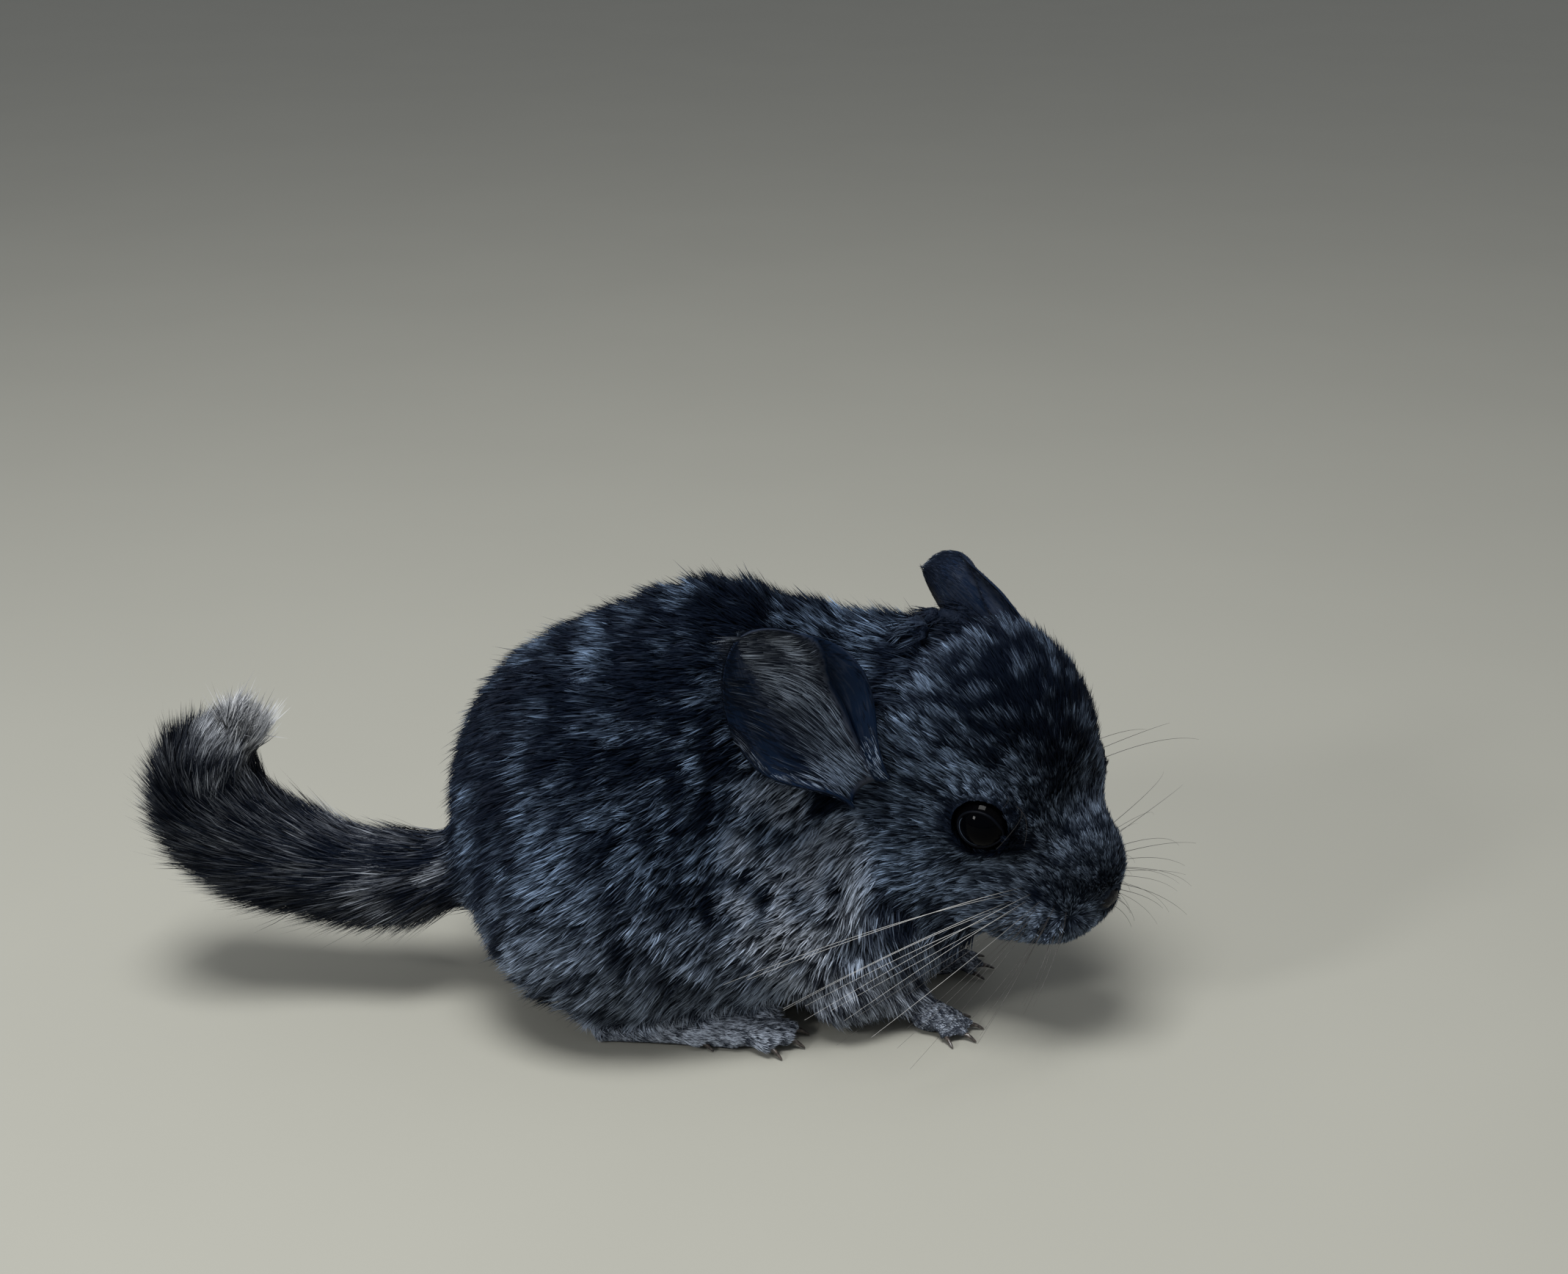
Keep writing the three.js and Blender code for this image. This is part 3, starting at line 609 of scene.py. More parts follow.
@dataclass(frozen=True)
class BareFinish:
    """Bare grained skin, for the nose."""

    name: str = "nose_skin"
    deep: tuple = (0.003, 0.0036, 0.006, 1.0)
    light: tuple = (0.014, 0.015, 0.02, 1.0)
    roughness: float = 0.36
    grain: float = 0.3
    relief: float = 0.12
    gloss: float = 0.1

    def material(self) -> bpy.types.Material:
        """The finish as nodes."""
        w = Wiring(self.name)
        place = w.object_place()
        broad = w.noise(place, self.grain * 12)
        small = w.noise(place, self.grain, 3.0)
        level = w.sum("ADD", w.ramp(broad, 0.3, 0.7, 0.0, 0.6), w.ramp(small, 0.35, 0.65, 0.0, 0.4))
        w.bump(small, self.relief)
        rough = w.ramp(small, 0.3, 0.7, self.roughness - 0.08, self.roughness + 0.08)
        return w.dress(w.blend(level, self.deep, self.light), rough, Specular_IOR_Level=self.gloss)


@dataclass(frozen=True)
class EarFinish:
    """Thin dark skin with a fine nap that runs from the root to the rim."""

    name: str = "ear_skin"
    deep: tuple = (0.0025, 0.0083, 0.0230, 1.0)
    light: tuple = (0.040, 0.046, 0.062, 1.0)

    def material(self) -> bpy.types.Material:
        """The finish as nodes, with the nap from the ear's own measure of its surface."""
        w = Wiring(self.name)
        streak = w.noise(w.attribute("nap", vector=True), 0.5, 3.0)
        broad = w.noise(w.object_place(), 5.0)
        # The tone carries the painted shade of the ear's hollow and of the crescent beyond its fold.
        level = w.sum("ADD", w.attribute("tone"), w.ramp(streak, 0.3, 0.7, -0.16, 0.16))
        level = w.sum("ADD", level, w.ramp(broad, 0.3, 0.7, -0.1, 0.1), clamp=True)
        w.bump(streak, 0.12)
        return w.dress(w.blend(level, self.deep, self.light), 0.6, Specular_IOR_Level=0.07)


@dataclass(frozen=True)
class EyeFinish:
    """A wet black eye whose iris hardly shows."""

    name: str = "eye"
    pupil: tuple = (0.0002, 0.0003, 0.0007, 1.0)
    iris: tuple = (0.0008, 0.0007, 0.0008, 1.0)
    gloss: float = 0.03

    def material(self) -> bpy.types.Material:
        """The finish as nodes, with the iris from the mesh's own ring numbers."""
        w = Wiring(self.name)
        ring = w.attribute("ring")
        fibres = w.noise(w.object_place(), 0.4, 2.0)
        level = w.sum("MULTIPLY", w.ramp(ring, 0.25, 0.6), w.ramp(fibres, 0.3, 0.7, 0.5, 1.0))
        return w.dress(
            w.blend(level, self.pupil, self.iris), 0.03, Specular_IOR_Level=self.gloss
        )


@dataclass(frozen=True)
class HornFinish:
    """Polished dark horn with a paler point, for the claws."""

    name: str = "claw"
    dark: tuple = (0.012, 0.010, 0.010, 1.0)
    light: tuple = (0.09, 0.075, 0.065, 1.0)

    def material(self) -> bpy.types.Material:
        """The finish as nodes."""
        w = Wiring(self.name)
        streak = w.noise(w.object_place(), 0.6, 3.0)
        w.bump(streak, 0.04)
        return w.dress(w.blend(w.ramp(streak, 0.35, 0.75), self.dark, self.light), 0.3)


@dataclass(frozen=True)
class WhiskerFinish:
    """Stiff hair, brown-black at the root and horn-coloured towards the tip."""

    name: str = "whisker"
    root: tuple = (0.02, 0.018, 0.017, 1.0)
    tip: tuple = (0.50, 0.50, 0.49, 1.0)

    def material(self) -> bpy.types.Material:
        """The finish as nodes."""
        w = Wiring(self.name)
        level = w.ramp(w.attribute("along"), 0.02, 0.4)
        return w.dress(w.blend(level, self.root, self.tip), 0.35)


@dataclass(frozen=True)
class FloorFinish:
    """A plain pale floor."""

    name: str = "floor"
    colour: tuple = (0.286, 0.283, 0.246, 1.0)

    def material(self) -> bpy.types.Material:
        """The finish as nodes."""
        w = Wiring(self.name)
        level = w.noise(w.object_place(), 90.0, 3.0)
        shade = tuple(0.94 * c for c in self.colour[:3]) + (1.0,)
        return w.dress(w.blend(level, shade, self.colour), 0.75)


# The skin.


COAT_DEPTH = {
    ("torso", "neck", "haunch"): 4.2,
    ("lower_jaw", "whisker_pad"): 0.8,
    ("foreleg",): 1.6,
    ("forefoot", "hindfoot"): 0.35,
    ("tail",): 1.5,
}
SKULL_DEPTH = 2.6
FACE_DEPTH = 0.9
FLESH = (
    "torso",
    "neck",
    "head",
    "lower_jaw",
    *(
        f"{part}_{side.word}"
        for side in Side
        for part in ("whisker_pad", "haunch", "foreleg", "forefoot", "hindfoot")
    ),
    "tail_base",
    "tail_middle",
    "tail_tip",
)


@dataclass
class Skin:
    """One skin over all the flesh, sunk under the coat, with lids and folds at the eyes."""

    anatomy: Anatomy
    voxel: float = 0.8
    overlap: float = 0.45
    pad_centre: tuple = (18.5, 7.2, -11.5)
    pad_radii: tuple = (8.4, 7.2, 6.8)
    tail_radii: tuple = (8.2, 10.4, 5.6)
    nape: tuple = (46.0, 0.0, 70.0)
    nape_radii: tuple = (15.0, 14.0, 10.0)
    nape_heights: tuple = (56.0, 68.0)
    lid_thick: float = 0.9
    lid_gap: float = 0.12
    lowest: float = 0.25
    points: np.ndarray = field(init=False)
    quads: np.ndarray = field(init=False)
    edges: np.ndarray = field(init=False)

    def build(self) -> bpy.types.Object:
        """Makes the skin.

        Returns:
            The skin's object, with its unwrap.
        """
        self.object = self._drawn_over(joined(self._flesh(), "skin"))
        self._read()
        self.part = self._nearest_part()
        self.coat_depth = self._depth()
        self._sink()
        for side in Side:
            self._model_lids(side)
        move_to(self.object.data, self.anatomy.packed(self.points))
        self._unwrap()
        return self.object

    def _flesh(self) -> list[bmesh.types.BMesh]:
        """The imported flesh, each solid grown a little so that neighbours overlap."""
        parts = []
        for name in FLESH:
            part = merged_copy(self.anatomy.nodes[name], self.overlap * MILLIMETRE)
            if name.startswith("whisker_pad"):
                self._draw_in_whiskers(part, Side.LEFT if name.endswith("left") else Side.RIGHT)
            if name.startswith("tail"):
                self._draw_in_locks(part)
            parts.append(part)
        return [*parts, self._nape_filler()]

    def _nape_filler(self) -> bmesh.types.BMesh:
        """A round mass that fills the hollow between the head and the neck."""
        filler = bmesh.new()
        bmesh.ops.create_icosphere(filler, subdivisions=3, radius=1.0)
        places = np.array([list(v.co) for v in filler.verts]) * self.nape_radii + self.nape
        self._move(filler, places)
        return filler

    def _move(self, part: bmesh.types.BMesh, points: np.ndarray) -> None:
        """Moves a mesh's vertices to points of the body's frame."""
        for vertex, place in zip(part.verts, self.anatomy.packed(points)):
            vertex.co = Vector(place)

    def _draw_in_locks(self, part: bmesh.types.BMesh) -> None:
        """Pulls the locks of a length of tail back to its own round core."""
        points = self.anatomy.own([list(vertex.co) for vertex in part.verts])
        middle, share, _ = self.anatomy.tail.nearest(points)
        root, brush, end = self.tail_radii
        radius = mix(mix(root, brush, smooth(share, 0.2, 0.65)), end, smooth(share, 0.8, 1.0))
        out = points - middle
        far = np.linalg.norm(out, axis=1)
        self._move(part, middle + out * np.minimum(1.0, radius / np.maximum(far, 1e-6))[:, None])

    def _draw_in_whiskers(self, part: bmesh.types.BMesh, side: Side) -> None:
        """Pulls all that stands out of a whisker pad back to the pad's own round form."""
        centre = np.array(self.pad_centre) * (1, side.value, 1)
        points = self.anatomy.own([list(vertex.co) for vertex in part.verts])
        reach = (self.anatomy.head.into(points) - centre) / np.array(self.pad_radii)
        far = np.linalg.norm(reach, axis=1, keepdims=True)
        inside = centre + reach / np.maximum(far, 1.0) * np.array(self.pad_radii)
        self._move(part, self.anatomy.head.out(inside))

    def _drawn_over(self, obj: bpy.types.Object) -> bpy.types.Object:
        """One closed even surface over the joined flesh."""
        cover = obj.modifiers.new("one_skin", "REMESH")
        cover.mode = "VOXEL"
        cover.voxel_size = self.voxel * MILLIMETRE
        cover.use_smooth_shade = True
        return settled(obj)

    def _read(self) -> None:
        """Takes the surface as arrays."""
        mesh = self.object.data
        self.points = self.anatomy.own(vertex_array(mesh))
        self.quads = corner_vertices(mesh).reshape(-1, 4)
        pairs = np.empty(len(mesh.edges) * 2, np.int32)
        mesh.edges.foreach_get("vertices", pairs)
        self.edges = pairs.reshape(-1, 2)

    def _nearest_part(self) -> np.ndarray:
        """The number in FLESH of the solid that each point lies on."""
        owners = [np.full(len(self.anatomy.node_points(n)), i) for i, n in enumerate(FLESH)]
        places = [self.anatomy.node_points(n) for n in FLESH]
        tree = kdtree.KDTree(sum(map(len, places)))
        for i, place in enumerate(np.vstack(places)):
            tree.insert(place, i)
        tree.balance()
        owner = np.concatenate(owners)
        return owner[[tree.find(point)[1] for point in self.points]]

    def on(self, *words: str) -> np.ndarray:
        """1 on the parts whose names start with any of the words, and 0 elsewhere."""
        wanted = [i for i, name in enumerate(FLESH) if name.startswith(words)]
        return np.isin(self.part, wanted).astype(float)

    def spread(self, values: np.ndarray, times: int, keep: np.ndarray | float = 0.0) -> np.ndarray:
        """Values evened out over the surface.

        Args:
            values: One number or one vector for each vertex.
            times: How many times each takes the mean of its neighbours.
            keep: How much of its own value each keeps.

        Returns:
            The evened values.
        """
        flat = values.reshape(len(values), -1).astype(float)
        first, second = self.edges.T
        count = np.bincount(self.edges.ravel(), minlength=len(flat))[:, None]
        held = np.asarray(keep, float).reshape(-1, 1)
        for _ in range(times):
            total = np.empty_like(flat)
            for axis in range(flat.shape[1]):
                total[:, axis] = np.bincount(
                    first, flat[second, axis], minlength=len(flat)
                ) + np.bincount(second, flat[first, axis], minlength=len(flat))
            flat = flat * held + total / np.maximum(count, 1) * (1.0 - held)
        return flat.reshape(values.shape)

    def normals(self) -> np.ndarray:
        """The outward direction at each vertex."""
        a, b, c, d = (self.points[self.quads[:, i]] for i in range(4))
        facing = np.cross(c - a, d - b)
        total = np.zeros_like(self.points)
        for corner in range(4):
            for axis in range(3):
                total[:, axis] += np.bincount(
                    self.quads[:, corner], facing[:, axis], minlength=len(self.points)
                )
        return unit(total)

    def _depth(self) -> np.ndarray:
        """How far the skin lies under the coat's outside at each vertex."""
        head = self.anatomy.head.into(self.points)
        on_face = smooth(head[:, 0], -4.0, 14.0)
        depth = self.on("head") * mix(SKULL_DEPTH, FACE_DEPTH, on_face)
        for words, deep in COAT_DEPTH.items():
            depth += deep * self.on(*words)
        depth = self.spread(depth, 14)
        for side in Side:
            away = np.linalg.norm(self.points - self.anatomy.head.eye(side), axis=1)
            depth = np.minimum(depth, mix(0.15, 6.0, smooth(away, 6.5, 17.0)))
        low = smooth(self.points[:, 2], 0.4, 5.0)
        return depth * mix(0.1, 1.0, low)

    def _sink(self, steps: int = 6) -> None:
        """Moves the surface in by the coat's depth, smoothing it as it goes."""
        fine = np.clip(1.2 - self.coat_depth / 2.0, 0.35, 0.85)
        self.points = self.spread(self.points, 2, keep=fine)
        for _ in range(steps):
            self.points -= self.normals() * (self.coat_depth + self.overlap)[:, None] / steps
            self.points = self.spread(self.points, 1, keep=fine)
        rounder = self.on("tail")[:, None]
        self.points = mix(self.points, self.spread(self.points, 6), self.spread(rounder, 4))
        head, trunk = (self.spread(self.on(*words), 24) for words in (("head",), ("neck", "torso")))
        nape = np.clip(4.0 * head * trunk, 0.0, 1.0)
        nape = nape * smooth(self.points[:, 2], *self.nape_heights)
        self.points = mix(self.points, self.spread(self.points, 40), nape[:, None])
        self.points[:, 2] = np.maximum(self.points[:, 2], self.lowest)

    def _model_lids(self, side: Side) -> None:
        """Wraps the skin over one eyeball as two lids with a rolled edge."""
        head = self.anatomy.head
        centre = head.eye(side)
        axis, ahead, above = head.eye_frame(side)
        out = self.points - centre
        away = np.linalg.norm(out, axis=1)
        way = unit(out)
        angle = np.degrees(np.arccos(np.clip(way @ axis, -1, 1)))
        past = angle - head.lid_opening(np.arctan2(way @ above, way @ ahead))
        near = away < head.eye_radius + 4.5
        hidden = near & (past < -3.0)
        rolled = head.eye_radius + self.lid_gap + self.lid_thick * np.sqrt(smooth(past, -3.0, 9.0))
        share = 1.0 - smooth(past, 14.0, 34.0)
        target = np.where(hidden, np.minimum(away, head.eye_radius - 0.5), away)
        lid = near & (past >= -3.0) & (angle < 100.0)
        target = np.where(lid, mix(np.maximum(away, rolled), rolled, share), target)
        self.points = centre + way * target[:, None]

    def _unwrap(self) -> None:
        """Unwraps the skin's own shape as the map that coat and skin share."""
        mesh = self.object.data
        mesh.uv_layers.new(name="OFBake")
        bpy.context.view_layer.objects.active = self.object
        self.object.select_set(True)
        bpy.ops.object.mode_set(mode="EDIT")
        bpy.ops.mesh.select_all(action="SELECT")
        bpy.ops.uv.smart_project(angle_limit=math.radians(66), island_margin=0.001)
        bpy.ops.object.mode_set(mode="OBJECT")
        flat = np.empty(len(mesh.loops) * 2, np.float32)
        mesh.uv_layers["OFBake"].data.foreach_get("uv", flat)
        self.corner_uv = flat.reshape(-1, 4, 2)


# The coat.


@dataclass(frozen=True)
class Zones:
    """One measure of the hair on each part of the animal."""

    body: float
    skull: float
    face: float
    muzzle: float
    legs: float
    feet: float
    tail: float


HAIR = {
    "length": Zones(body=6.2, skull=4.4, face=2.9, muzzle=1.9, legs=4.4, feet=1.9, tail=10.5),
    "width": Zones(body=0.42, skull=0.36, face=0.3, muzzle=0.24, legs=0.34, feet=0.22, tail=0.32),
    "lift": Zones(body=41.0, skull=36.0, face=31.0, muzzle=34.0, legs=27.0, feet=18.0, tail=31.0),
    "clump": Zones(body=1.9, skull=1.4, face=1.05, muzzle=0.8, legs=1.5, feet=1.0, tail=2.4),
    "pull": Zones(body=0.5, skull=0.48, face=0.42, muzzle=0.34, legs=0.42, feet=0.3, tail=0.34),
    "density": Zones(
        body=6.5, skull=8.5, face=12.0, muzzle=20.0, legs=10.0, feet=20.0, tail=9.5
    ),
}


@dataclass(frozen=True)
class Spot:
    """A place where the hair is paler or darker than around it."""

    change: float
    centre: tuple
    radii: tuple


# In the body's frame.
BODY_SPOTS = {
    # A pale clump of the coat under the ear, made paler with painted light against the shade that the
    # ear casts.
    "clump under the ear": Spot(0.4, (17, -26, 52), (8, 12, 6)),
    "between the ears": Spot(0.3, (29, -7, 84), (13, 14, 6)),
    # Two dark lines of painted shade in a fold of the coat, high on the right flank.
    "painted shade, rear crease": Spot(-0.34, (-3.0, -34, 60), (1.5, 16, 17)),
    "painted shade, front crease": Spot(-0.34, (3.4, -34, 60), (1.5, 16, 17)),
    "behind the elbow": Spot(0.16, (6, -32, 26), (15, 16, 15)),
    "above the foreleg": Spot(-0.07, (25, -28, 11), (14, 14, 9)),
}
# In the head's frame, on its left. Its right has the same.
HEAD_SPOTS = {
    "cheek": Spot(0.2, (0, 20, -11), (11, 10, 7)),
    "over the eye": Spot(0.16, (-2, 20, 10.6), (9, 7, 3.0)),
    "before the ear": Spot(0.14, (-21, 22, 16), (6, 8, 8)),
    "corner of the eye": Spot(-0.3, (10.5, 14, 2.4), (3.6, 5, 2.4)),
    "side of the nose": Spot(-0.2, (22, 7, -2.6), (5, 4, 2.6)),
    "under the eye": Spot(-0.16, (17, 13.5, -8), (2.8, 4, 2.6)),
    "lip": Spot(0.1, (20, 11, -14), (6, 7, 5)),
}


@dataclass
class Pelage:
    """How the hair grows at each point of the skin: its length, lie, width and markings."""

    skin: Skin
    pad: tuple = (19.0, 8.0, -11.0)
    pad_reach: tuple = (6.0, 13.0)
    pad_source: tuple = (22.0, 7.0, -9.0)
    tail_end_way: tuple = (0.45, 0.0, 0.89)
    foreleg_way: tuple = (0.45, 0.0, -1.0)
    foot_way: tuple = (1.0, 0.0, -0.15)

    def measure(self) -> dict[str, np.ndarray]:
        """Works out every property at the skin's vertices.

        Returns:
            Arrays by name: length, width, lift, clump, pull, density, tone, warm, flow, normal.
        """
        skin = self.skin
        points, normals = skin.points, skin.normals()
        head = skin.anatomy.head.into(points)
        body = skin.on("torso", "haunch", "neck")
        on_head = skin.on("head", "lower_jaw", "whisker_pad")
        face = on_head * smooth(head[:, 0], -6.0, 14.0)
        muzzle = on_head * smooth(head[:, 0], 12.0, 19.0)
        feet = skin.on("forefoot", "hindfoot")
        legs = skin.on("foreleg")
        tail = skin.on("tail")
        toes = skin.on("forefoot") + skin.on("hindfoot") * smooth(points[:, 0], 12.0, 20.0)
        _, tail_share, tail_way = skin.anatomy.tail.nearest(points)
        eye_gap = np.min(
            [np.linalg.norm(points - skin.anatomy.head.eye(s), axis=1) for s in Side], axis=0
        )
        by_eye = 1.0 - smooth(eye_gap, 6.6, 12.0)

        def over(zones: Zones) -> np.ndarray:
            """One measure at each vertex, evened out where two parts meet."""
            skull = mix(mix(zones.skull, zones.face, face), zones.muzzle, muzzle)
            value = zones.body * body + skull * on_head + zones.legs * legs
            return skin.spread(value + zones.feet * feet + zones.tail * tail, 12)

        made = {name: over(zones) for name, zones in HAIR.items()}
        made["length"] *= mix(1.0, 0.45, by_eye) * mix(1.0, 0.4, toes)
        brush = tail * smooth(tail_share, 0.6, 0.9)
        tail_root = tail * (1.0 - smooth(tail_share, 0.05, 0.3))
        made["length"] *= mix(1.0 + 0.12 * tail, 0.9, brush)
        made["lift"] *= mix(1.0, 0.85, brush) * mix(1.0, 0.6, toes) * (1.0 + 0.1 * tail_root)
        made["density"] *= mix(1.0, 1.3, brush)
        made["density"] *= mix(1.0, 1.6, by_eye) * np.where(eye_gap < 6.95, 0.0, 1.0)
        low = smooth(points[:, 2], 0.3, 3.5)
        made["length"] *= mix(0.5, 1.0, low)
        made["lift"] *= mix(0.3, 1.0, low)
        made["density"] *= np.where((normals[:, 2] < -0.8) & (points[:, 2] < 1.5), 0.0, 1.0)
        flow = self._flow(points, head, normals, tail_way, tail_share)
        made["flow"] = along_surface(skin.spread(flow, 16), normals)
        made["normal"] = normals
        made["tone"], made["warm"] = self._markings(points, head, tail_share)
        return made

    def _flow(
        self,
        points: np.ndarray,
        head: np.ndarray,
        normals: np.ndarray,
        tail_way: np.ndarray,
        tail_share: np.ndarray,
    ) -> np.ndarray:
        """The way the hair lies before it is laid on the surface."""
        skin = self.skin
        side = np.sign(points[:, 1])
        flow = np.zeros_like(points)
        flank = np.abs(normals[:, 1])
        body = skin.on("torso", "neck")
        rump = smooth(-points[:, 0], 20.0, 52.0)
        chest = smooth(points[:, 0], 22.0, 38.0) * smooth(-points[:, 2], -52.0, -30.0)
        flow += body[:, None] * np.stack(
            [
                mix(-1.0, 0.25, chest),
                0.1 * side,
                -0.05 - 0.3 * flank - 0.45 * rump - 0.9 * chest,
            ],
            axis=1,
        )
        flow += skin.on("haunch")[:, None] * np.stack(
            [np.full(len(points), -0.9), 0.1 * side, -0.4 - 0.4 * rump], axis=1
        )
        skull = np.stack(
            [
                np.full(len(points), -1.0),
                0.25 * np.sign(head[:, 1]) * smooth(np.abs(head[:, 1]), 2.0, 14.0),
                mix(-0.5, 0.3, smooth(head[:, 2], -12.0, 8.0)),
            ],
            axis=1,
        )
        on_head = skin.on("head", "lower_jaw", "whisker_pad")
        for s in (1, -1):
            near, far = self.pad_reach
            gap = np.linalg.norm(head - np.array(self.pad) * (1, s, 1), axis=1)
            by_pad = smooth(-gap, -far, -near)
            from_pad = unit(head - np.array(self.pad_source) * (1, s, 1)) * 1.4
            skull = mix(skull, from_pad, by_pad[:, None])
        flow += on_head[:, None] * skin.anatomy.head.way(skull)
        flow += skin.on("foreleg")[:, None] * np.array(self.foreleg_way)
        flow += skin.on("forefoot", "hindfoot")[:, None] * np.array(self.foot_way)
        ending = smooth(tail_share, 0.62, 0.88)[:, None]
        flow += skin.on("tail")[:, None] * mix(tail_way, np.array(self.tail_end_way), ending)
        return flow

    def _markings(
        self, points: np.ndarray, head: np.ndarray, tail_share: np.ndarray
    ) -> tuple[np.ndarray, np.ndarray]:
        """How pale and how warm the hair is at each vertex, with painted shade in the creases and
        partings of the coat and painted light on the neck.
        """
        skin = self.skin
        skull = skin.anatomy.head
        x, _, z = points.T
        tone = np.full(len(points), 0.3)
        # The flank breaks into upright bands, painted shade in the partings of the fur, where the
        # dark underfur also shows, and paler between them; the back breaks into broken patches.
        wavy = points + 4.0 * (drifting(points, (14, 14, 11), 3)[:, None] - 0.5)
        parting_shade_bands = smooth(drifting(wavy, (2.9, 14.0, 9.0), 5), 0.2, 0.8)
        patches = smooth(drifting(wavy, (4.6, 4.6, 3.6), 9), 0.2, 0.8)
        broad = drifting(points, (17.0, 17.0, 15.0), 21)
        body = skin.on("torso", "haunch", "neck")
        calm = mix(1.0, 0.62, smooth(-x, 28.0, 52.0))
        tone += body * calm * (0.34 * (parting_shade_bands - 0.5) + 0.26 * (patches - 0.5) + 0.3 * (broad - 0.5))
        tone -= 0.05 * body * smooth(-x, 24.0, 44.0)
        low_flank = body * smooth(-z, -50.0, -16.0)
        tone += 0.19 * low_flank
        tone -= 0.12 * body * smooth(z, 48.0, 76.0)
        tone -= 0.1 * body * smooth(-x, 22.0, 44.0) * smooth(z, 22.0, 40.0)
        # The neck has pale locks of its own; their extra paleness here is painted light where the ear
        # and cheek shade the neck.
        locks = smooth(drifting(points, (3.4, 3.4, 4.4), 25), 0.22, 0.62)
        by_neck = body * within(points, (21, -26, 42), (15, 18, 25))
        tone += by_neck * (1.75 * locks - 0.32)
        for spot in BODY_SPOTS.values():
            tone += spot.change * body * within(points, spot.centre, spot.radii)
        # The face is finer and more even.
        on_head = skin.on("head", "lower_jaw", "whisker_pad")
        small = smooth(drifting(points, (2.0, 2.0, 2.0), 13), 0.2, 0.8)
        blots = smooth(drifting(points, (2.7, 2.7, 2.2), 15), 0.25, 0.75)
        high = smooth(head[:, 2], 9.0, 21.0)
        tone += on_head * (0.14 * (small - 0.5) + mix(0.05, 0.46, high) * (blots - 0.5))
        tone += on_head * mix(0.14, -0.11, high)
        for s in (1, -1):
            for spot in HEAD_SPOTS.values():
                centre = np.array(spot.centre) * (1, s, 1)
                tone += on_head * spot.change * within(head, centre, spot.radii)
            eye = np.array([skull.eye_ahead, skull.eye_apart / 2 * s, skull.eye_high])
            tone -= on_head * 0.3 * smooth(-np.linalg.norm(head - eye, axis=1), -8.3, -6.6)
        tone += skin.on("foreleg") * 0.28 + skin.on("forefoot") * 0.36 + skin.on("hindfoot") * 0.56
        tail = skin.on("tail")
        tip = tail * within(points, (-87, 2, 61), (15, 20, 12), 0.9)
        streaks = drifting(points, (2.0, 2.0, 2.0), 17)
        tail_root = 1.0 - smooth(tail_share, 0.1, 0.3)
        tone += tail * (0.4 * (streaks - 0.5) - 0.06 + 0.04 * tail_root + 1.05 * tip)
        warm = tail * mix(0.6, 1.0, tip) + 0.45 * skin.on("forefoot", "hindfoot", "foreleg")
        # More painted light on the neck's locks, as a paler, greyer colour.
        warm += 0.32 * by_neck * locks
        warm += on_head * mix(0.05, 0.15, smooth(head[:, 0], -8.0, 16.0)) + 0.25 * low_flank
        return skin.spread(np.clip(tone, 0.0, 1.4), 1), skin.spread(warm, 3)


